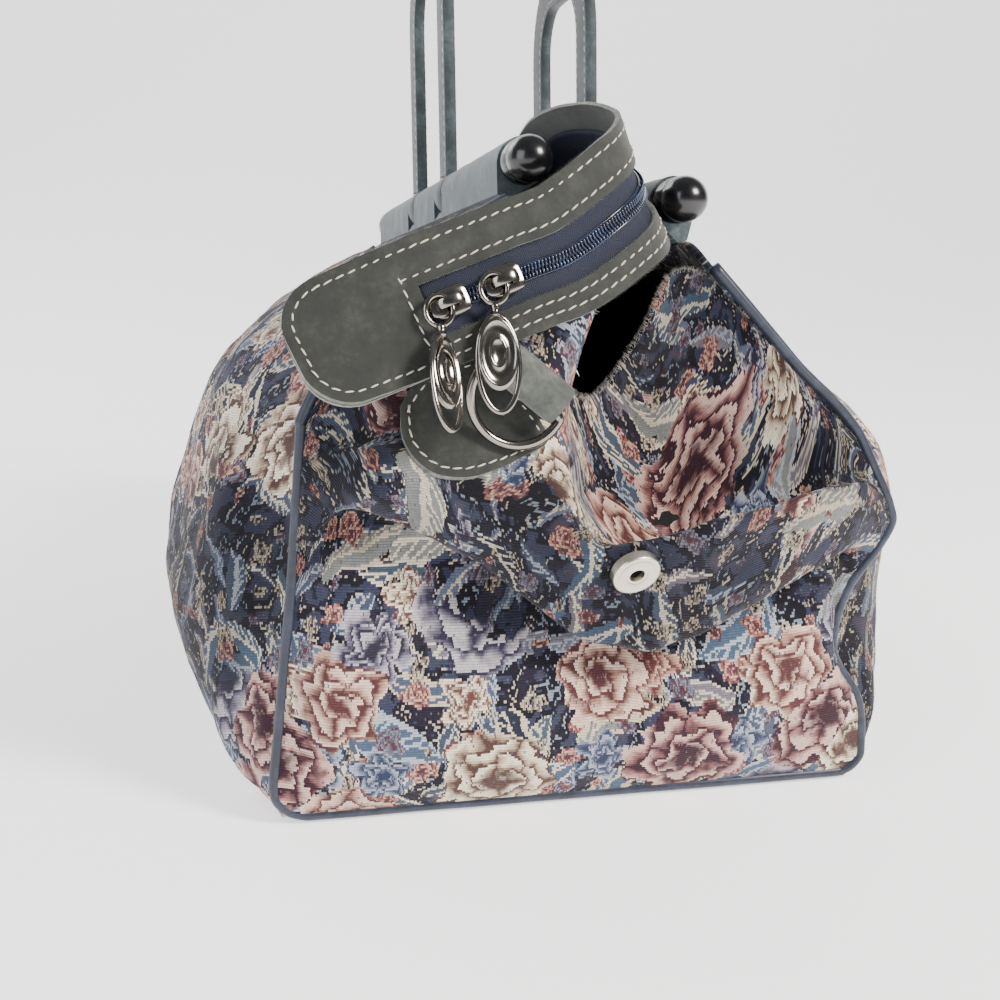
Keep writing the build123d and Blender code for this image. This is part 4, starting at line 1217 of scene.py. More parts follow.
    def build(self) -> BVHTree:
        """Builds the whole body and returns a tree of the front end's outer face, for what is sewn on it."""
        front = self.pucker(self.front_grid(), -1)
        self.panel("front_end_cloth", front, False, "front_end_panel", (0, 0))
        self.line("front_end_lining", front, 1, False, "front_lining", 3)
        rear = self.rear_grid()
        self.panel("rear_end_cloth", rear, True, "rear_end_panel", (412, 260))
        self.line("rear_end_lining", rear, -1, True, "rear_lining", 3)
        for side, shift in ((Side.LEFT, (-640, 31)), (Side.RIGHT, (930, 77))):
            name, left = side.name.lower(), side is Side.LEFT
            grid = self.side_grid(side)
            self.panel(f"{name}_side_cloth", grid, left, f"{name}_side_panel", shift)
            self.line(f"{name}_side_lining", grid, 1 if side is Side.RIGHT else -1, left, f"{name}_lining", 2)
        self.hem(front)
        self.edge(End.FRONT)
        self.edge(End.REAR)
        return BVHTree.FromPolygons([Vector(p) for p in front.reshape(-1, 3)], Mould().grid(front).faces)


# ------------------------------------------------------------------ mouth rods
@dataclass
class MouthRod:
    """One stiff rod of the mouth with its caps, leather sleeve and carrying handle."""

    side: Side
    tube: float = 8.6
    bore: float = 6.35
    ply: float = 1.7
    sleeve_half: float = 171.0
    cap_radius: float = 7.8
    cap_start: float = 172.0
    cap_barrel: float = 12.0
    handle_at: float = 42.0
    handle_width: float = 18.0
    handle_thickness: float = 5.0
    handle_height: float = 118.0
    handle_offset: float = 3.6
    handle_bend: float = 30.0
    loop_slack: float = 1.2

    @property
    def rod(self) -> RodLine:
        """The rod's axis."""
        return RODS[self.side]

    @property
    def name(self) -> str:
        """The side's name for pieces and nodes."""
        return self.side.name.lower()

    def ring(self, y: float) -> tuple[np.ndarray, np.ndarray]:
        """Returns the sleeve's outer and inner outlines at a station: a tube drawn to a seam."""
        centre = self.rod.at(y)
        point = np.array(self.rod.point)
        reach = np.linalg.norm(point)
        aim = math.atan2(point[1], point[0])
        tangent = math.acos(self.tube / reach)
        turns = np.linspace(aim + tangent, aim - tangent + math.tau, 30)
        swell = [self.tube + 0.25 * noise.noise(Vector((math.cos(t) * 2, y / 11, math.sin(t) * 2))) for t in turns]
        circle = np.stack([np.cos(turns) * swell, np.sin(turns) * swell], axis=-1)
        side = np.array([-point[1], point[0]]) / reach * self.ply
        near, far = point * 0.985 - side, point * 0.985 + side
        outer = np.vstack([circle, [circle[-1] * 0.5 + near * 0.5, near, far, circle[0] * 0.5 + far * 0.5]])
        angles = np.arctan2(outer[:, 1], outer[:, 0])
        inner = np.stack([np.cos(angles), np.sin(angles)], axis=-1) * self.bore
        lift = [np.stack([centre[0] + flat[:, 0], np.full(len(flat), y), centre[2] + flat[:, 1]], axis=-1)
                for flat in (outer, inner)]
        return lift[0], lift[1]

    def sleeve(self) -> None:
        """Makes the leather tube, open where the handle's loops go round the rod."""
        gap = self.handle_width / 2 + self.loop_slack
        mould = Mould()
        ends = [-self.sleeve_half, -self.handle_at - gap, -self.handle_at + gap, self.handle_at - gap,
                self.handle_at + gap, self.sleeve_half]
        for start, end in zip(ends[::2], ends[1::2]):
            stations = np.linspace(start, end, max(int((end - start) / 4), 2))
            rings = [self.ring(y) for y in stations]
            outer = [r[0] for r in rings]
            inner = [r[1] for r in rings[::-1]]
            mould.grid(np.array(outer + inner + outer[:1]), wrap=True)
        for start, end in zip(ends[1:-1:2], ends[2:-1:2]):
            rows = []
            for y in np.linspace(start - 0.4, end + 0.4, 5):
                outer, _ = self.ring(y)
                low = outer[-3:-1]
                axis = self.rod.at(y)
                rows.append(np.vstack([low, low[::-1] + (axis - low.mean(axis=0)) * 0.28]))
            mould.grid(np.array(rows), wrap=True, caps=True)
        piece = mould.cast(f"{self.name}_sleeve_leather", [SLEEVE])
        sharpen(piece, 50)
        settle(piece, "bag", Slot.NUBUCK, [f"{self.name}_sleeve"])
        path, out = [], []
        for y in np.linspace(-self.sleeve_half + 2, self.sleeve_half - 2, 90):
            outer, _ = self.ring(y)
            low = outer[-2] if self.side is Side.LEFT else outer[-3]
            beside = outer[-1] if self.side is Side.LEFT else outer[-4]
            away = unit(np.cross(beside - low, self.rod.axis)) * (-1 if self.side is Side.LEFT else 1)
            if away[0] * self.side.value < 0:
                away = -away
            path.append(low + (beside - low) * 0.42 + away * 0.2)
            out.append(away)
        sew(f"{self.name}_sleeve_stitches", [(np.array(path), np.array(out))])

    def cap(self, end: End) -> None:
        """Makes the glossy domed cap pushed on one end of the rod."""
        top = self.cap_start + self.cap_barrel
        dome = [(self.cap_radius * math.cos(t), top + self.cap_radius * math.sin(t))
                for t in np.linspace(0, math.pi / 2, 14)[:-1]]
        start = self.cap_start
        profile = [(0.001, start + 6.3), (self.bore - 0.15, start + 6.3), (self.bore - 0.15, start),
                   (self.cap_radius - 0.5, start), (self.cap_radius, start + 0.5), (self.cap_radius, top - 3.2),
                   (self.cap_radius - 0.25, top - 2.9), (self.cap_radius, top - 2.6), *dome,
                   (0.001, top + self.cap_radius)]
        centre = self.rod.at(0)
        mould = Mould().lathe(profile, centre, self.rod.axis * end.value, sides=40)
        piece = mould.cast(f"{self.name}_{end.name.lower()}_cap", [GLOSS])
        sharpen(piece, 40)
        settle(piece, "bag", Slot.CAP, [f"{self.name}_{end.name.lower()}_rod_cap"])

    def handle(self) -> None:
        """Makes the flat leather handle with rounded edges, and its loops round the rod."""
        axis, sign = self.rod.axis, self.side.value
        across = np.array([1.0, 0.0, 0.0])
        up = unit(np.cross(across, axis))
        centre = self.rod.at(0)
        half, bend = self.handle_at, self.handle_bend
        straight = self.handle_height - self.handle_width / 2
        flat = [(-half, z) for z in np.linspace(7.5, straight - bend, 14)]
        flat += [(-half + bend - bend * math.cos(t), straight - bend + bend * math.sin(t))
                 for t in np.linspace(0, math.pi / 2, 12)[1:]]
        flat += [(y, straight) for y in np.linspace(-half + bend, half - bend, 6)[1:-1]]
        flat += [(-y, z) for y, z in flat[:25][::-1]]
        line = np.array([centre + axis * y + up * z + across * sign * self.handle_offset for y, z in flat])
        tangents = unit(np.gradient(line, axis=0))
        wide = unit(np.cross(tangents, across))
        w, t = self.handle_width / 2, self.handle_thickness / 2
        section = [(-w, -t * 0.55), (-w * 0.93, -t * 0.95), (-w * 0.6, -t), (0, -t * 1.04), (w * 0.6, -t),
                   (w * 0.93, -t * 0.95), (w, -t * 0.55), (w, t * 0.55), (w * 0.93, t * 0.95), (w * 0.6, t),
                   (0, t * 1.04), (-w * 0.6, t), (-w * 0.93, t * 0.95), (-w, t * 0.55)]
        rows = [[p + wd * a + across * b for a, b in section] for p, wd in zip(line, wide)]
        mould = Mould().grid(np.array(rows), wrap=True, caps=True)
        for place in (-half, half):
            circuit = [(self.bore, -w), (self.tube, -w), (self.tube + 0.3, -w + 0.6), (self.tube + 0.3, w - 0.6),
                       (self.tube, w), (self.bore, w), (self.bore, -w)]
            turns = np.arange(40) * math.tau / 40
            rows = [[centre + axis * (place + y) + (across * math.cos(a) + up * math.sin(a)) * r for a in turns]
                    for r, y in circuit]
            mould.grid(np.array(rows), wrap=True)
        piece = mould.cast(f"{self.name}_handle_leather", [STRAP])
        sharpen(piece, 40)
        body = f"{self.name}_handle"
        settle(piece, body, Slot.NUBUCK, [body])
        runs = []
        for offset in (-w + 2.6, w - 2.6):
            for face in (-1, 1):
                path = line + wide * offset + across * face * (t * 0.99)
                runs.append((path, np.tile(across * face, (len(path), 1))))
        sew(f"{self.name}_handle_stitches", runs, body, 4.2)

    def build(self) -> None:
        """Builds the sleeve, caps and handle."""
        self.sleeve()
        self.cap(End.FRONT)
        self.cap(End.REAR)
        self.handle()


# ------------------------------------------------------------------ zip strip
@dataclass
class ZipStrip:
    """The leather facing over the mouth, from the front tab to the rear tab, with its zip and seams."""

    width: float = 42.0
    leather: float = 1.8
    backing: float = 1.6
    window: float = 17.0
    window_at: float = 43.5
    shift: float = 2.4
    corner: float = 15.0
    tape: float = 0.7
    tape_reach: float = 14.0
    sleeve: float = 8.6
    gap: float = 0.8
    inset: float = 3.3
    window_inset: float = 3.0
    tooth_pitch: float = 1.2
    tooth_place: float = 1.15
    cord_place: float = 2.3
    rear_drop: float = 112.0

    def __post_init__(self) -> None:
        """Lays out the strip's middle line, its faces and its lengths."""
        start, end = np.array([-101.0, -228.0, 165.5]), np.array([-14.0, -216.0, 197.0])
        face = np.array([0.04, -0.966, 0.257])
        run = unit(end - start)
        down = unit(np.cross(run, face))
        stations = []
        for share, tilt in zip(np.linspace(0, 1, 7), np.radians((20, 13, 6, 0, 0, 0, 0))):
            stations.append((start + (end - start) * share, unit(face) * math.cos(tilt) - down * math.sin(tilt)))
        stations += [(np.array(c), np.array(f)) for c, f in (
            ((4.0, -210.5, 208.5), (0.33, -0.86, 0.36)), ((13.5, -201.0, 215.5), (0.74, -0.56, 0.36)),
            ((16.0, -187.0, 221.0), (0.91, -0.10, 0.38)), ((12.0, -168.0, 226.0), (0.85, 0.0, 0.52)),
            ((8.5, -140.0, 229.0), (0.50, 0.0, 0.87)))]
        for y in (-105.0, -50.0, 0.0, 56.0, 112.0, 168.0):
            left, right = RODS[Side.LEFT].at(y), RODS[Side.RIGHT].at(y)
            tilt = unit(np.array([left[2] - right[2], 0, right[0] - left[0]]))
            reach = np.linalg.norm(right - left) / 2 - self.width / 2
            lift = math.sqrt(self.sleeve**2 - reach**2) + self.leather + self.gap
            stations.append(((left + right) / 2 + tilt * lift, tilt))
        top = stations[-1][0]
        low = top[2] - 16 - self.rear_drop
        stations += [(np.array([top[0] + dx, y, z]), np.array(f)) for dx, y, z, f in (
            (0, 190, top[2] - 4, (0.12, 0.45, 0.88)), (-1, 202, top[2] - 16, (0.05, 0.9, 0.43)),
            (-1, 205, top[2] - 34, (0, 1, 0)), (-1, 205, (top[2] - 34 + low + 48) / 2, (0, 1, 0)),
            (-1, 205, low + 48, (0, 1, 0)), (-1, 205, low + 24, (0, 1, 0)), (-1, 205, low, (0, 1, 0)))]
        centre = spline(np.array([c for c, _ in stations]), 12)
        faces = spline(np.array([unit(f) for _, f in stations], float), 12)
        steps = np.linalg.norm(np.diff(centre, axis=0), axis=1)
        self.lengths = np.concatenate([[0], np.cumsum(steps)])
        self.length = float(self.lengths[-1])
        tangent = unit(np.gradient(centre, axis=0))
        wide = unit(np.cross(tangent, faces))
        self.frames = (centre, tangent, wide, unit(np.cross(wide, tangent)))
        self.start, self.along = centre[0], run
        self.across = down
        self.face = unit(np.cross(down, run))

    def frame_at(self, s: np.ndarray) -> tuple[np.ndarray, ...]:
        """Returns centre, tangent, width direction and face at lengths along the strip."""
        values = [np.stack([np.interp(s, self.lengths, part[:, k]) for k in range(3)], axis=-1)
                  for part in self.frames]
        return values[0], unit(values[1]), unit(values[2]), unit(values[3])

    def at(self, s: np.ndarray, w: float | np.ndarray, h: float | np.ndarray = 0.0) -> np.ndarray:
        """Returns points at lengths along, distances across and a height off the strip's face."""
        s, w, h = np.broadcast_arrays(s, w, h)
        centre, _, wide, face = self.frame_at(s)
        return centre + wide * w[..., None] + face * h[..., None]

    def half_at(self, s: np.ndarray) -> np.ndarray:
        """Returns half the strip's width at lengths along it, drawn in at the rounded tab ends."""
        away = np.minimum(s, self.length - s)
        inside = np.clip(self.corner - away, 0, self.corner)
        return self.width / 2 - self.corner + np.sqrt(self.corner**2 - inside**2)

    def rows(self, start: float, end: float, step: float = 2.2) -> np.ndarray:
        """Returns lengths from start to end, closer together round the tab corners."""
        fine = np.array([0, 0.15, 0.6, 1.3, 2.3, 3.6, 5.2, 7.2, 9.6, 12.4, 15.0])
        even = np.arange(15 + step, self.length - 15, step)
        every = np.concatenate([fine, even, self.length - fine[::-1]])
        extra = [self.window_at, self.length - self.window_at, start, end]
        every = np.unique(np.round(np.concatenate([every, extra]), 3))
        return every[(every >= start - 1e-3) & (every <= end + 1e-3)]

    def facing(self) -> None:
        """Makes the leather facing with its long window and raw, slightly wavy edges."""
        s = self.rows(0, self.length)
        low, high = self.shift - self.window / 2, self.shift + self.window / 2
        upper, lower = np.linspace(-self.width / 2, low, 11), np.linspace(high, self.width / 2, 9)
        across = np.concatenate([upper, np.linspace(low, high, 9)[1:-1], lower]) / (self.width / 2)
        half = self.half_at(s) + 0.28 * np.array([noise.noise(Vector((v / 7, 2.2, 0))) for v in s])
        wide = half[:, None] * across[None, :]
        waves = np.array([[noise.noise(Vector((v / 16, w / 9, 1.5))) * 0.35 for w in row] for v, row in zip(s, wide)])
        points = self.at(s[:, None], wide, waves)
        middle = range(len(upper) - 1, len(upper) + 7)
        skip = [(r, c) for r in range(len(s) - 1) for c in middle
                if self.window_at - 0.01 <= s[r] and s[r + 1] <= self.length - self.window_at + 0.01]
        mould = Mould().grid(points, flip=False, skip=skip, cloth=np.stack([wide, s[:, None] + wide * 0], -1))
        piece = mould.cast("zip_facing_leather", [NUBUCK, EDGE], solid=False)
        self.face_out(piece, self.face)
        thicken(piece, self.leather, rim=True, bevel=0.3)
        settle(piece, "bag", Slot.NUBUCK, ["zip_leather"])

    def face_out(self, piece: Object, outward: np.ndarray) -> None:
        """Turns a strip piece's faces over if its first face looks into the bag."""
        if piece.data.polygons[0].normal.dot(Vector(outward)) < 0:
            piece.data.flip_normals()

    def backings(self) -> None:
        """Makes the second leather layer behind each tab."""
        depth = -self.leather - 0.1 - self.tape - 0.3
        for end, start in ((End.FRONT, 0.0), (End.REAR, self.length - self.window_at)):
            s = self.rows(start, start + self.window_at)
            across = np.linspace(-1, 1, 16)
            wide = (self.half_at(s) - 0.1)[:, None] * across[None, :]
            points = self.at(s[:, None], wide, depth)
            piece = Mould().grid(points).cast(f"{end.name.lower()}_tab_lining", [NUBUCK, EDGE], solid=False)
            self.face_out(piece, self.frame_at(np.array([start + 20]))[3][0])
            thicken(piece, self.backing, rim=True)
            settle(piece, "bag", Slot.NUBUCK, [f"{end.name.lower()}_tab_backing"])

    def tapes(self) -> None:
        """Makes the two woven tapes under the facing."""
        s = self.rows(self.window_at, self.length - self.window_at, 3.0)
        for name, sign in (("upper", -1), ("lower", 1)):
            w = self.shift + np.linspace(0.2, self.tape_reach - 0.2, 8) * sign
            wide = np.tile(w, (len(s), 1))
            points = self.at(s[:, None], wide, -self.leather - 0.12)
            flat = np.stack([wide, s[:, None] + wide * 0], -1)
            piece = Mould().grid(points, cloth=flat).cast(f"{name}_tape_cloth", [TAPE], solid=False)
            self.face_out(piece, self.face)
            thicken(piece, self.tape * 0.9)
            settle(piece, "bag", Slot.TAPE, [f"{name}_zip_tape"])

    def coils(self) -> None:
        """Makes the two rows of coil teeth that mesh down the middle, and the cord inside them."""
        for name, sign in (("upper", -1), ("lower", 1)):
            shift = 0.0 if sign < 0 else self.tooth_pitch / 2
            s = np.arange(self.window_at + 1 + shift, self.length - self.window_at - 1, self.tooth_pitch)
            path = self.at(s, self.shift + sign * self.tooth_place, -0.85)
            out = self.frame_at(s)[3]
            lean = 0.28 * sign
            turns = np.linspace(0, 1, 9)
            wire = np.stack([(turns - 0.5) * lean, -sign * (0.95 - 2.75 * turns),
                             0.62 - 1.1 * turns**3], axis=-1)
            tooth = Mould().tube(wire, np.array([0.28, 0.36, 0.37, 0.36, 0.35, 0.35, 0.34, 0.32, 0.26]), sides=6)
            piece = RUNNER.run(f"{name}_coil_teeth", [(path, out)], tooth, self.tooth_pitch, NYLON)
            settle(piece, "bag", Slot.COIL, [f"{name}_zip_coil"])
            cord = self.at(s, self.shift + sign * self.cord_place, -1.45)
            spine = Mould().tube(cord, 0.42, sides=8).cast(f"{name}_coil_cord", [NYLON])
            settle(spine, "bag", Slot.COIL)

    def seams(self) -> None:
        """Sews the facing: a row inside its outline and a row round the window."""
        runs = []
        even = np.arange(0, self.length + 1e-6, 2.0)
        radius = self.corner - self.inset
        low, high, side = self.inset, self.length - self.inset, self.width / 2 - self.inset
        outline = ((low + radius, -side + radius), (low + radius, side - radius), (high - radius, side - radius),
                   (high - radius, -side + radius))
        arcs = []
        for (cs, cw), (a0, a1) in zip(outline, ((270, 180), (180, 90), (90, 0), (360, 270))):
            angles = np.radians(np.linspace(a0, a1, 12))
            arcs.append(np.stack([cs + radius * np.cos(angles), cw + radius * np.sin(angles)], axis=-1))
        top = even[(even > low + radius) & (even < high - radius)]
        runs.append(self.lifted(np.vstack([
            arcs[0], arcs[1], np.stack([top, top * 0 + side], -1), arcs[2], arcs[3],
            np.stack([top[::-1], top * 0 - side], -1), arcs[0][:1]])))
        inner = self.window / 2 + self.window_inset
        near, far = self.window_at - 4.6, self.length - self.window_at + 4.6
        mid = even[(even > near) & (even < far)]
        cross = np.linspace(-inner, inner, 10)
        frame_path = np.vstack([np.stack([cross * 0 + near, cross], -1), np.stack([mid, mid * 0 + inner], -1),
                                np.stack([cross * 0 + far, cross[::-1]], -1),
                                np.stack([mid[::-1], mid * 0 - inner], -1)]) + [0, self.shift]
        runs.append(self.lifted(frame_path))
        sew("zip_facing_stitches", runs)

    def lifted(self, flat: np.ndarray) -> tuple[np.ndarray, np.ndarray]:
        """Puts a flat seam on the strip and returns its points and outward directions."""
        return self.at(flat[:, 0], flat[:, 1], 0.06), self.frame_at(flat[:, 0])[3]

    def fray(self) -> None:
        """Grows a short nap of loose fibres along the facing's raw edges."""
        s = np.arange(1.0, self.length - 1.0, 2.0)
        half = self.half_at(s)
        runs = []
        for sign in (-1, 1):
            _, _, wide, face = self.frame_at(s)
            runs.append((self.at(s, half * sign, -0.5), unit(wide * sign + face * 0.35)))
            inside = s[(s > self.window_at + 1) & (s < self.length - self.window_at - 1)]
            _, _, wide, face = self.frame_at(inside)
            runs.append((self.at(inside, self.shift + sign * self.window / 2, -0.4), unit(-wide * sign + face * 0.4)))
        bend = np.linspace(0, 1, 4)
        hair = Mould().tube(np.stack([bend * 0.25, bend**2 * 0.15, bend * 0.75], -1), 0.055 * (1.15 - bend), sides=3)
        settle(RUNNER.run("zip_facing_fray", runs, hair, 0.5, EDGE, 0.7), "bag", Slot.NUBUCK)

    def build(self) -> None:
        """Builds the whole strip."""
        self.facing()
        self.backings()
        self.tapes()
        self.coils()
        self.seams()
        self.fray()


@dataclass
class ZipSlider:
    """One slider on the front tail with its crown and its oval pull."""

    strip: ZipStrip
    name: str
    place: float
    twist: float
    lean: float
    length: float = 13.0
    width: float = 9.6
    plate: float = 1.4
    lift: float = 2.6
    crown: float = 3.2
    span: float = 9.5
    eye: float = 5.4
    wire: float = 1.8
    frame: tuple[float, float] = (7.4, 15.7)
    oval: tuple[float, float] = (6.6, 11.6)
    neck: float = 3.0
    drop: float = 1.5

    def put(self, local: np.ndarray) -> np.ndarray:
        """Moves points from the slider's own axes, X along the strip, to the bag's frame."""
        strip = self.strip
        origin = strip.start + strip.along * self.place + strip.across * strip.shift
        origin = origin - strip.face * (strip.leather + 0.1)
        across = np.cross(strip.face, strip.along)
        return origin + local @ np.array([strip.along, across, strip.face])

    def body(self) -> None:
        """Makes the wedge-shaped body, its flanks and the arched crown."""
        mould = Mould()
        turns = np.arange(36) * math.tau / 36
        rows = []
        for z, grow in ((0.0, 0.9), (0.35, 1.0), (1.05, 1.0), (1.4, 0.9), (1.45, 0.55), (1.45, 0.02)):
            c, s = np.cos(turns), np.sin(turns)
            taper = 1 + 0.10 * np.sign(c) * np.abs(c)
            x = self.length / 2 * np.sign(c) * np.abs(c) ** 0.6 * grow
            y = self.width / 2 * np.sign(s) * np.abs(s) ** 0.55 * grow * taper * 0.93
            rows.append(np.stack([x, y, np.full(36, self.lift + z)], axis=-1))
        mould.grid(self.put(np.array(rows)), wrap=True, caps=True)
        for side in (-1, 1):
            inner = side * 3.3
            outer = side * (self.width / 2 - 0.1)
            box = [[(x, y, z) for y, z in ((inner, 0.35), (outer, 0.35), (outer, self.lift + 0.3),
                                          (inner, self.lift + 0.3))] for x in (-3.5, 3.5)]
            mould.grid(self.put(np.array(box, float)), wrap=True, caps=True)
        top = self.lift + self.plate
        shares = np.linspace(0, 1, 17)
        reach = self.span / 2 - 0.7
        x = -reach * np.cos(shares * math.pi)
        z = top + (self.crown + 0.6) * np.sin(shares * math.pi) ** 0.55 * (0.78 + 0.22 * shares)
        arch = np.stack([x, z], axis=-1)
        ahead = unit(np.gradient(arch, axis=0))
        normal = np.stack([-ahead[:, 1], ahead[:, 0]], axis=-1)
        wide = 1.3 + 0.55 * shares
        ring = []
        for point, n, w in zip(arch, normal, wide):
            outline = [(0.65, w * 0.55), (0.45, w), (-0.45, w), (-0.65, w * 0.6), (-0.65, -w * 0.6), (-0.45, -w),
                       (0.45, -w), (0.65, -w * 0.55)]
            ring.append([(point[0] + n[0] * a, b, point[1] + n[1] * a) for a, b in outline])
        mould.grid(self.put(np.array(ring)), wrap=True, caps=True)
        piece = mould.cast(f"{self.name}_slider_cast", [NICKEL])
        sharpen(piece, 55)
        settle(piece, f"{self.name}_slider", Slot.METAL, [f"{self.name}_slider"])

    def hang(self, local: np.ndarray, loose: bool = True) -> np.ndarray:
        """Moves points from the pull's own axes, hanging along -Z, to the bag's frame.

        Args:
            local: Points with X across the pull and -Y its front.
            loose: Whether the point belongs below the eye, where the pull leans and turns.

        Returns:
            The placed points.
        """
        if loose:
            local = local @ np.array(Matrix.Rotation(math.radians(-self.lean), 3, "X")).T
        face = self.strip.face
        up = np.array([0.0, 0.0, 1.0])
        up = unit(up - face * (up @ face))
        x_dir = -np.cross(face, up)
        y_dir = np.cross(up, x_dir)
        foot = self.strip.start + self.strip.along * (self.place - self.span / 2 + 0.75)
        foot = foot + self.strip.across * self.strip.shift
        foot = foot + face * (self.lift + self.plate - self.strip.leather - 0.1 + self.crown / 2)
        return foot + local @ np.array([x_dir, y_dir, up])

    def turned(self, local: np.ndarray, lower: float) -> np.ndarray:
        """Twists points about the pull's neck and lowers them."""
        return local @ np.array(Matrix.Rotation(math.radians(self.twist), 3, "Z")).T + [0, 0, lower]

    def oval_ring(self, wide: float, tall: float, z: float, thick: float, deep: float) -> np.ndarray:
        """Returns a flattened oval ring's grid: a rounded section run round an ellipse."""
        turns = np.linspace(0, math.tau, 57)
        around = np.arange(10) * math.tau / 10
        rows = []
        for t in turns:
            radial = unit(np.array([math.cos(t) / wide, 0, math.sin(t) / tall]))
            centre = np.array([wide * math.cos(t), 0, tall * math.sin(t) + z])
            rows.append([centre + radial * math.cos(a) * thick + np.array([0, 1, 0]) * math.sin(a) * deep
                         for a in around])
        return np.array(rows)

    def pull(self) -> None:
        """Makes the cast pull: eye, neck, oval frame and the plate with plain raised ovals."""
        mould = Mould()
        half = self.wire / 2
        turns = np.linspace(0, math.tau, 41)
        radius = self.eye - half
        ring = np.stack([np.cos(turns) * radius * 0.93, 0 * turns, np.sin(turns) * radius * 1.04 - self.drop], -1)
        mould.tube(self.hang(ring[:-1], False), half, sides=12, closed=True)
        bottom = -(self.eye + self.drop)
        heights = np.linspace(bottom + 1.1, bottom - self.neck - 0.4, 8)
        sizes = np.array([0.9, 1.35, 1.5, 1.25, 1.2, 1.35, 1.7, 1.2])
        stem = np.stack([0 * heights, 0 * heights, heights], axis=-1)
        mould.tube(self.hang(stem), sizes, sides=12)
        wide, tall = self.frame
        lower = bottom - self.neck - tall + 1.0
        frame_ring = self.oval_ring(wide - half, tall - half, 0, half, half * 0.85)
        mould.grid(self.hang(self.turned(frame_ring, lower)), wrap=True)
        lift = tall - self.oval[1] - 0.8
        steps = [(0.02, 0.62), (0.30, 0.62), (0.34, 0.95), (0.41, 0.95), (0.45, 0.62), (0.80, 0.6), (0.835, 0.95),
                 (0.90, 1.0), (0.935, 0.7), (0.985, 0.6), (1.0, 0.35)]
        angle = np.arange(48) * math.tau / 48
        rows = []
        for side in (-1, 1):
            for share, height in (steps if side < 0 else steps[::-1]):
                rows.append(np.stack([np.cos(angle) * self.oval[0] * share, np.full(48, side * height),
                                      np.sin(angle) * self.oval[1] * share + lift], axis=-1))
        mould.grid(self.hang(self.turned(np.array(rows), lower)), wrap=True, caps=True)
        piece = mould.cast(f"{self.name}_pull_cast", [NICKEL])
        sharpen(piece, 60)
        settle(piece, f"{self.name}_pull", Slot.METAL, [f"{self.name}_pull"])

    def build(self) -> None:
        """Builds the slider and its pull."""
        self.body()
        self.pull()


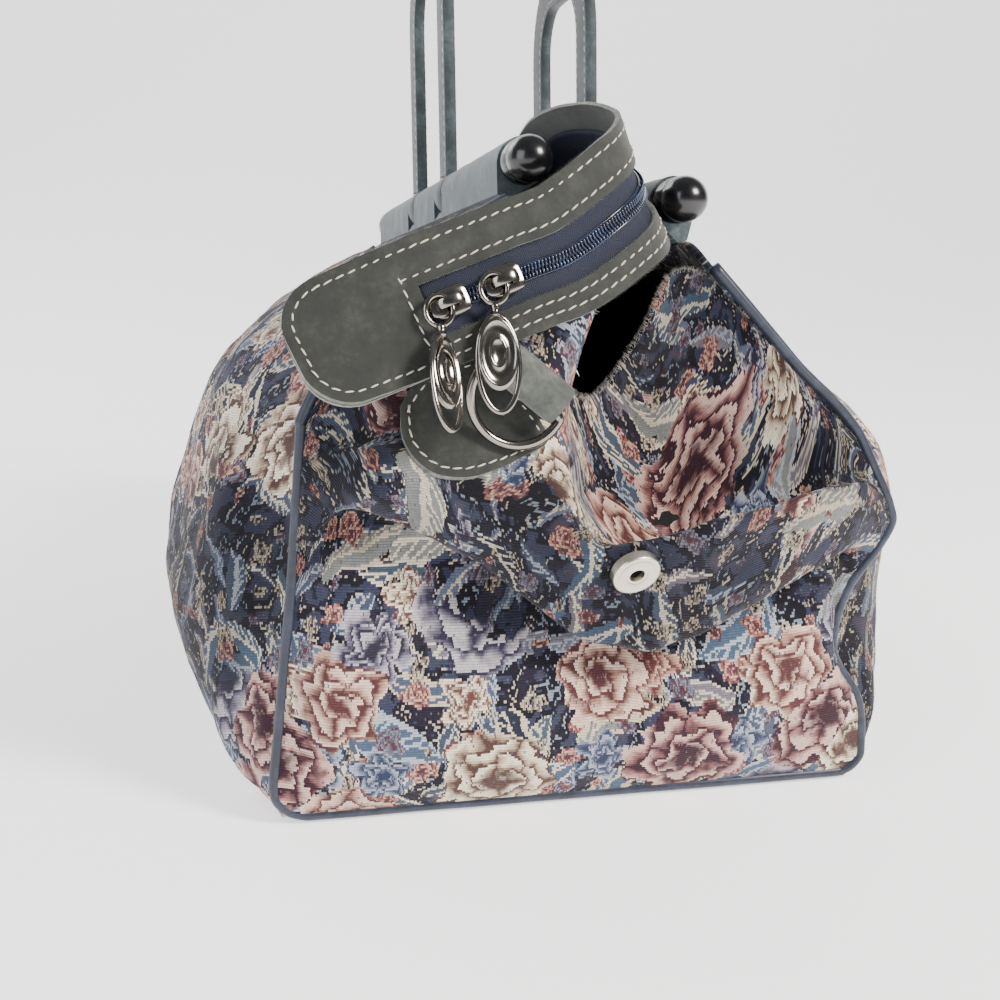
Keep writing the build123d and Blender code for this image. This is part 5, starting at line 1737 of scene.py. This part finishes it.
# ------------------------------------------------------------------ strap rings and snaps
@dataclass
class StrapAnchor:
    """A D-ring for the shoulder strap in its folded leather loop, on a stitched leather patch."""

    end: End
    centre: Point
    bar: Point
    face: Point
    outline: Sequence[Point]
    wire: float = 1.6
    half: float = 15.4
    bow: float = 14.8
    arm: float = 4.0
    loop_width: float = 26.0
    loop_reach: float = 10.0
    stand: float = 2.6
    ply: float = 1.9
    patch: float = 2.0

    @property
    def name(self) -> str:
        """The end's name for pieces and nodes."""
        return self.end.name.lower()

    def put(self, local: np.ndarray) -> np.ndarray:
        """Moves points from the ring's own axes, X along its bar and Z out of the panel."""
        x, z = unit(np.array(self.bar, float)), unit(np.array(self.face, float))
        return np.array(self.centre) + local @ np.array([x, np.cross(z, x), z])

    def ring(self) -> None:
        """Bends the wire ring."""
        h, r = self.half, 2.2
        path = [(x, 0.0) for x in np.linspace(-h + r, h - r, 8)]
        path += [(h - r + r * math.sin(t), -r + r * math.cos(t)) for t in np.linspace(0, math.pi / 2, 5)[1:]]
        path += [(h, -self.arm)]
        path += [(h * math.cos(t), -self.arm - self.bow * math.sin(t)) for t in np.linspace(0, math.pi, 33)[1:-1]]
        path += [(-h, -self.arm)]
        path += [(-h + r - r * math.cos(t), -r + r * math.sin(t)) for t in np.linspace(0, math.pi / 2, 5)[:-1]]
        line = self.put(np.array([(x, y, 0.0) for x, y in path]))
        piece = Mould().tube(line, self.wire, sides=14, closed=True).cast(f"{self.name}_ring_wire", [NICKEL])
        settle(piece, f"{self.name}_strap_ring", Slot.METAL, [f"{self.name}_strap_ring"])

    def loop(self) -> None:
        """Folds the leather strap round the ring's bar."""
        mid = 4.0 - self.ply / 2
        foot = -mid - self.stand
        path = [(self.loop_reach - 1.4, foot), (self.loop_reach - 1.0, -1.0), (self.loop_reach - 1.6, 1.6),
                (self.loop_reach - 4.2, mid), (2.0, mid + 0.2)]
        path += [(-mid * math.sin(t) * 0.97, mid * math.cos(t)) for t in np.linspace(0.25, 1.75, 10)]
        path += [(-1.9, -mid * 0.8), (-0.6, foot * 0.8), (0.4, foot)]
        line = np.array(path, float)
        normal = unit(np.gradient(line, axis=0))
        normal = np.stack([-normal[:, 1], normal[:, 0]], axis=-1)
        across = np.linspace(-1, 1, 13)
        rows = []
        for side in (1, -1):
            for k, x in enumerate(across if side > 0 else across[::-1]):
                edge = self.ply / 2 * (0.78 if k in (0, 12) else 1.0)
                wave = 0.25 * noise.noise(Vector((x * 3, side, 4.0)))
                flat = line + normal * side * (edge + wave * 0.3)
                rows.append(np.stack([np.full(len(line), x * self.loop_width / 2), flat[:, 0], flat[:, 1]], axis=-1))
        rows.append(rows[0])
        grid = np.array(rows).transpose(1, 0, 2)
        mould = Mould().grid(self.put(grid[:, :-1]), wrap=True, caps=True)
        piece = mould.cast(f"{self.name}_loop_leather", [SUEDE])
        sharpen(piece, 50)
        settle(piece, "bag", Slot.LOOP, [f"{self.name}_strap_loop"])

    def pad(self, cloth: BVHTree | None, seat: float) -> None:
        """Lays the stitched reinforcement patch on the cloth.

        Args:
            cloth: The panel that it follows, or None where it lies flat.
            seat: Y of its back where it lies flat.
        """
        sign = self.end.value
        outline = np.array([(x, 0.0, z) for x, z in self.outline], float)
        closed = spline(np.vstack([outline, outline[:1]]), 8)[:-1]
        centre = outline.mean(axis=0)

        def on_cloth(points: np.ndarray, lift: float) -> np.ndarray:
            placed = points.copy().reshape(-1, 3)
            for point in placed:
                y = seat
                if cloth:
                    hit = cloth.ray_cast(Vector((point[0], sign * 300.0, point[2])), Vector((0, -sign, 0)))
                    y = hit[0][1] if hit[0] else seat
                point[1] = y + sign * lift
            return placed.reshape(points.shape)

        shares = [0.04, 0.25, 0.5, 0.72, 0.88, 0.96, 1.0]
        rows = np.array([centre + (closed - centre) * share for share in shares])
        placed = on_cloth(rows, self.patch + 0.2)
        for _ in range(4):
            beside = np.roll(placed[1:-1], 1, 1) + np.roll(placed[1:-1], -1, 1)
            placed[1:-1] += ((placed[:-2] + placed[2:] + beside) / 4 - placed[1:-1]) * [0, 0.6, 0]
        mould = Mould().grid(placed, wrap=True)
        mould.faces.append(tuple(range(len(closed))))
        piece = mould.cast(f"{self.name}_ring_pad", [NUBUCK, EDGE], solid=False)
        work = bmesh.new()
        work.from_mesh(piece.data)
        bmesh.ops.recalc_face_normals(work, faces=work.faces)
        if sum(f.normal.y * f.calc_area() for f in work.faces) * sign < 0:
            bmesh.ops.reverse_faces(work, faces=work.faces)
        work.to_mesh(piece.data)
        work.free()
        thicken(piece, self.patch, rim=True, bevel=0.3)
        settle(piece, "bag", Slot.NUBUCK, [f"{self.name}_ring_patch"])
        inner = centre + (closed - centre) * (1 - 2.8 / np.linalg.norm(closed - centre, axis=1))[:, None]
        line = on_cloth(np.vstack([inner, inner[:1]]), self.patch + 0.35)
        sew(f"{self.name}_pad_stitches", [(line, np.tile([0.0, sign, 0.15], (len(line), 1)))])

    def build(self, cloth: BVHTree | None, seat: float) -> None:
        """Builds the ring, its loop and its patch."""
        self.ring()
        self.loop()
        self.pad(cloth, seat)


@dataclass
class Snap:
    """A magnetic snap: a nosed stud behind a tab and a holed socket on the panel."""

    radius: float = 8.3
    height: float = 4.0
    hole: float = 2.6
    nose: float = 2.3

    def turn(self, name: str, profile: Sequence[Point], centre: Point, axis: Point, sides: int) -> None:
        """Turns one half from its profile and stands it in for its node."""
        piece = Mould().lathe(profile, centre, axis, sides).cast(f"{name}_metal", [SNAP_NICKEL])
        sharpen(piece, 42)
        settle(piece, "bag", Slot.METAL, [name])

    def socket(self, name: str, centre: Point, axis: Point) -> None:
        """Turns the socket, whose centre is the middle of its outer face."""
        r, h = self.radius, self.height
        profile = [(0.001, -h), (r - 0.3, -h), (r, -h + 0.3), (r, -0.9), (r - 0.12, -0.45), (r - 0.5, -0.1),
                   (r - 1.0, 0.0), (r - 1.5, -0.06), (r - 2.0, -0.3), (r - 2.4, -0.36), (self.hole + 1.5, -0.36),
                   (self.hole + 1.1, -0.28), (self.hole + 0.8, -0.02), (self.hole + 0.4, 0.0), (self.hole, -0.3),
                   (self.hole, -2.9), (0.001, -3.0)]
        self.turn(name, profile, centre, axis, 56)

    def stud(self, name: str, centre: Point, axis: Point) -> None:
        """Turns the stud, whose centre is the middle of its back."""
        r, n = self.radius, self.nose
        profile = [(0.001, 0), (r - 0.2, 0), (r, 0.25), (r, 1.6), (r - 0.35, 2.0), (n + 1.0, 1.95), (n, 2.1),
                   (n, 3.5), (n - 0.5, 4.0), (0.001, 4.0)]
        self.turn(name, profile, centre, axis, 48)


# ------------------------------------------------------------------ the whole bag
@dataclass
class Bag:
    """The whole bag in its frame."""

    strip: ZipStrip = field(default_factory=ZipStrip)
    body: ClothBody = field(default_factory=ClothBody)
    snap: Snap = field(default_factory=Snap)

    def dress_frame(self) -> None:
        """Gives the nodes that stay in sight their finishes."""
        for node, finish in (("base_board", BOARD), ("base_lining", LINING),
                             ("left_rod", STEEL), ("right_rod", STEEL)):
            for slot in frame["nodes"][node].material_slots:
                slot.material = finish.material()
            LOG.info("%s: kept, %s", node, finish.name)

    def studs(self) -> None:
        """Builds both snaps: the studs behind the tabs, the sockets on the panels."""
        strip = self.strip
        back = strip.leather + 0.1 + strip.tape + 0.3 + strip.backing + 0.3
        point, _, _, face = strip.frame_at(np.array([20.0]))
        self.snap.stud("front_snap_stud", point[0] - face[0] * back, -face[0])
        self.snap.socket("front_snap_socket", (8.0, -223.2, 91.0), (0.12, -0.85, -0.51))
        point, _, _, face = strip.frame_at(np.array([strip.length - 20.0]))
        rear = point[0] - face[0] * back
        self.snap.stud("rear_snap_stud", rear, -face[0])
        self.snap.socket("rear_snap_socket", rear - face[0] * 2.3, face[0])

    def base(self) -> None:
        """Makes the base panel with rounded corners and a soft edge."""
        low, high = (np.array(p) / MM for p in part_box("base_panel"))
        middle, half, radius = (low + high) / 2, (high - low) / 2, 13.0
        turns = np.radians(np.arange(0, 360, 6) + 3)
        inner = np.stack([np.sign(np.cos(turns)) * (half[0] - radius), np.sign(np.sin(turns)) * (half[1] - radius)],
                         -1)
        arc = np.stack([np.cos(turns), np.sin(turns)], -1)
        rows = []
        for height, inset in ((low[2], 0.7), (low[2] + 0.5, 0.1), (high[2] - 0.5, 0.1), (high[2], 0.7)):
            flat = inner + arc * (radius - inset) + middle[:2]
            rows.append(np.column_stack([flat, np.full(len(flat), height)]))
        piece = Mould().grid(np.array(rows), wrap=True, caps=True).cast("base_vinyl_sheet", [BASE])
        sharpen(piece, 60)
        settle(piece, "bag", Slot.BASE, ["base_panel"])

    def build(self) -> None:
        """Builds every piece."""
        self.dress_frame()
        self.base()
        cloth = self.body.build()
        for side in Side:
            MouthRod(side).build()
        self.strip.build()
        ZipSlider(self.strip, "lower", LOWER_PLACE, 40.0, 11.0).build()
        ZipSlider(self.strip, "upper", UPPER_PLACE, 0.0, 0.0).build()
        front = [(-67, 147), (-67, 138), (-63, 131), (-56, 126.5), (-46, 125.5), (-36, 127.5), (-27, 130.5),
                 (-18.5, 134), (-21, 141), (-26, 149), (-32, 157), (-42, 162), (-54, 159), (-62, 154)]
        anchor = StrapAnchor(End.FRONT, (-28.0, -216.0, 152.5), (0.77, 0.0, -0.64), (0.0, -1.0, 0.0), front)
        anchor.build(cloth, FRONT_PATCH_Y)
        low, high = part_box("rear_ring_patch")
        x0, z0, x1, z1 = (v / MM for v in (low[0], low[2], high[0], high[2]))
        rear = [(x0, z0 + 5), (x0 + 5, z0), ((x0 + x1) / 2, z0), (x1 - 5, z0), (x1, z0 + 5), (x1, (z0 + z1) / 2),
                (x1, z1 - 5), (x1 - 5, z1), ((x0 + x1) / 2, z1), (x0 + 5, z1), (x0, z1 - 5), (x0, (z0 + z1) / 2)]
        anchor = StrapAnchor(End.REAR, (4.0, 197.874, 152.242), (-1.0, 0.0, 0.0), (0.0, 0.9997, 0.026), rear)
        anchor.build(None, REAR_PATCH_Y)
        self.studs()


@dataclass
class Studio:
    """Soft studio: a white floor, an even sky and three large lamps, seen from the front left."""

    eye: tuple[float, float, float] = (-0.1233, -0.6461, 0.2102)
    azimuth: float = 11.44
    drop: float = 12.0
    lens: float = 50.4

    def lamp(self, name: str, place: Point, target: Point, size: float, power: float, color: str) -> None:
        """Hangs a square soft lamp that faces a point."""
        data = bpy.data.lights.new(name, "AREA")
        data.size = size
        data.energy = power
        data.color = linear(color)[:3]
        made = bpy.data.objects.new(name, data)
        made.location = place
        made.rotation_euler = (Vector(target) - Vector(place)).to_track_quat("-Z", "Y").to_euler()
        bpy.context.scene.collection.objects.link(made)

    def floor(self) -> None:
        """Lays the pale floor, which curves up far behind."""
        profile = [(-6.0, 0.0), (1.2, 0.0)] + [(1.2 + 1.2 * math.sin(t), 1.2 - 1.2 * math.cos(t))
                                               for t in np.linspace(0, math.pi / 2, 12)[1:]] + [(2.4, 3.0)]
        grid = np.array([[(x, y, z - 0.0003) for x in (-6.0, 6.0)] for y, z in profile]) / MM
        made = Mould().grid(grid).cast("studio_floor", [Paper("pale_paper", "#ffffff", 0.9)], solid=False)

    def build(self) -> None:
        """Sets up the floor, sky, lamps and camera."""
        self.floor()
        world = bpy.data.worlds.new("studio")
        world.use_nodes = True
        sky = world.node_tree.nodes["Background"]
        add = partial(add_node, world.node_tree)
        height = add("SeparateXYZ", [add("TexCoord")]).outputs[2]
        glow = set_ramp(add("ValToRGB", [height]), [(0.0, "#d8dadd"), (0.08, "#b9bcc1"), (0.3, "#83868b"),
                                                       (1.0, "#c9ccd2")])
        feed(sky, {"Color": glow, "Strength": 0.5})
        bpy.context.scene.world = world
        target = (0.0, -0.05, 0.12)
        self.lamp("key", (0.85, -1.0, 0.95), target, 0.4, 38.0, "#fff9f2")
        self.lamp("fill", (-1.3, -0.9, 0.6), target, 1.0, 13.0, "#f4f7ff")
        self.lamp("back", (-0.9, 1.1, 1.1), target, 0.9, 12.0, "#ffffff")
        camera = bpy.data.cameras.new("photo_view")
        camera.lens = self.lens
        camera.sensor_width = 36.0
        camera.clip_start = 0.01
        made = bpy.data.objects.new("photo_view", camera)
        made.location = self.eye
        made.rotation_euler = (math.radians(90 - self.drop), 0.0, math.radians(-self.azimuth))
        bpy.context.scene.collection.objects.link(made)
        bpy.context.scene.camera = made


def note_bounds(key: str) -> None:
    if key != "cad":
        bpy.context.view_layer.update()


def main() -> None:
    """Builds the bag and its studio."""
    logging.basicConfig(level=logging.INFO, format="%(message)s")
    note_bounds("cad")
    Bag().build()
    Studio().build()
    note_bounds("visual")


if __name__ == "__main__":
    main()
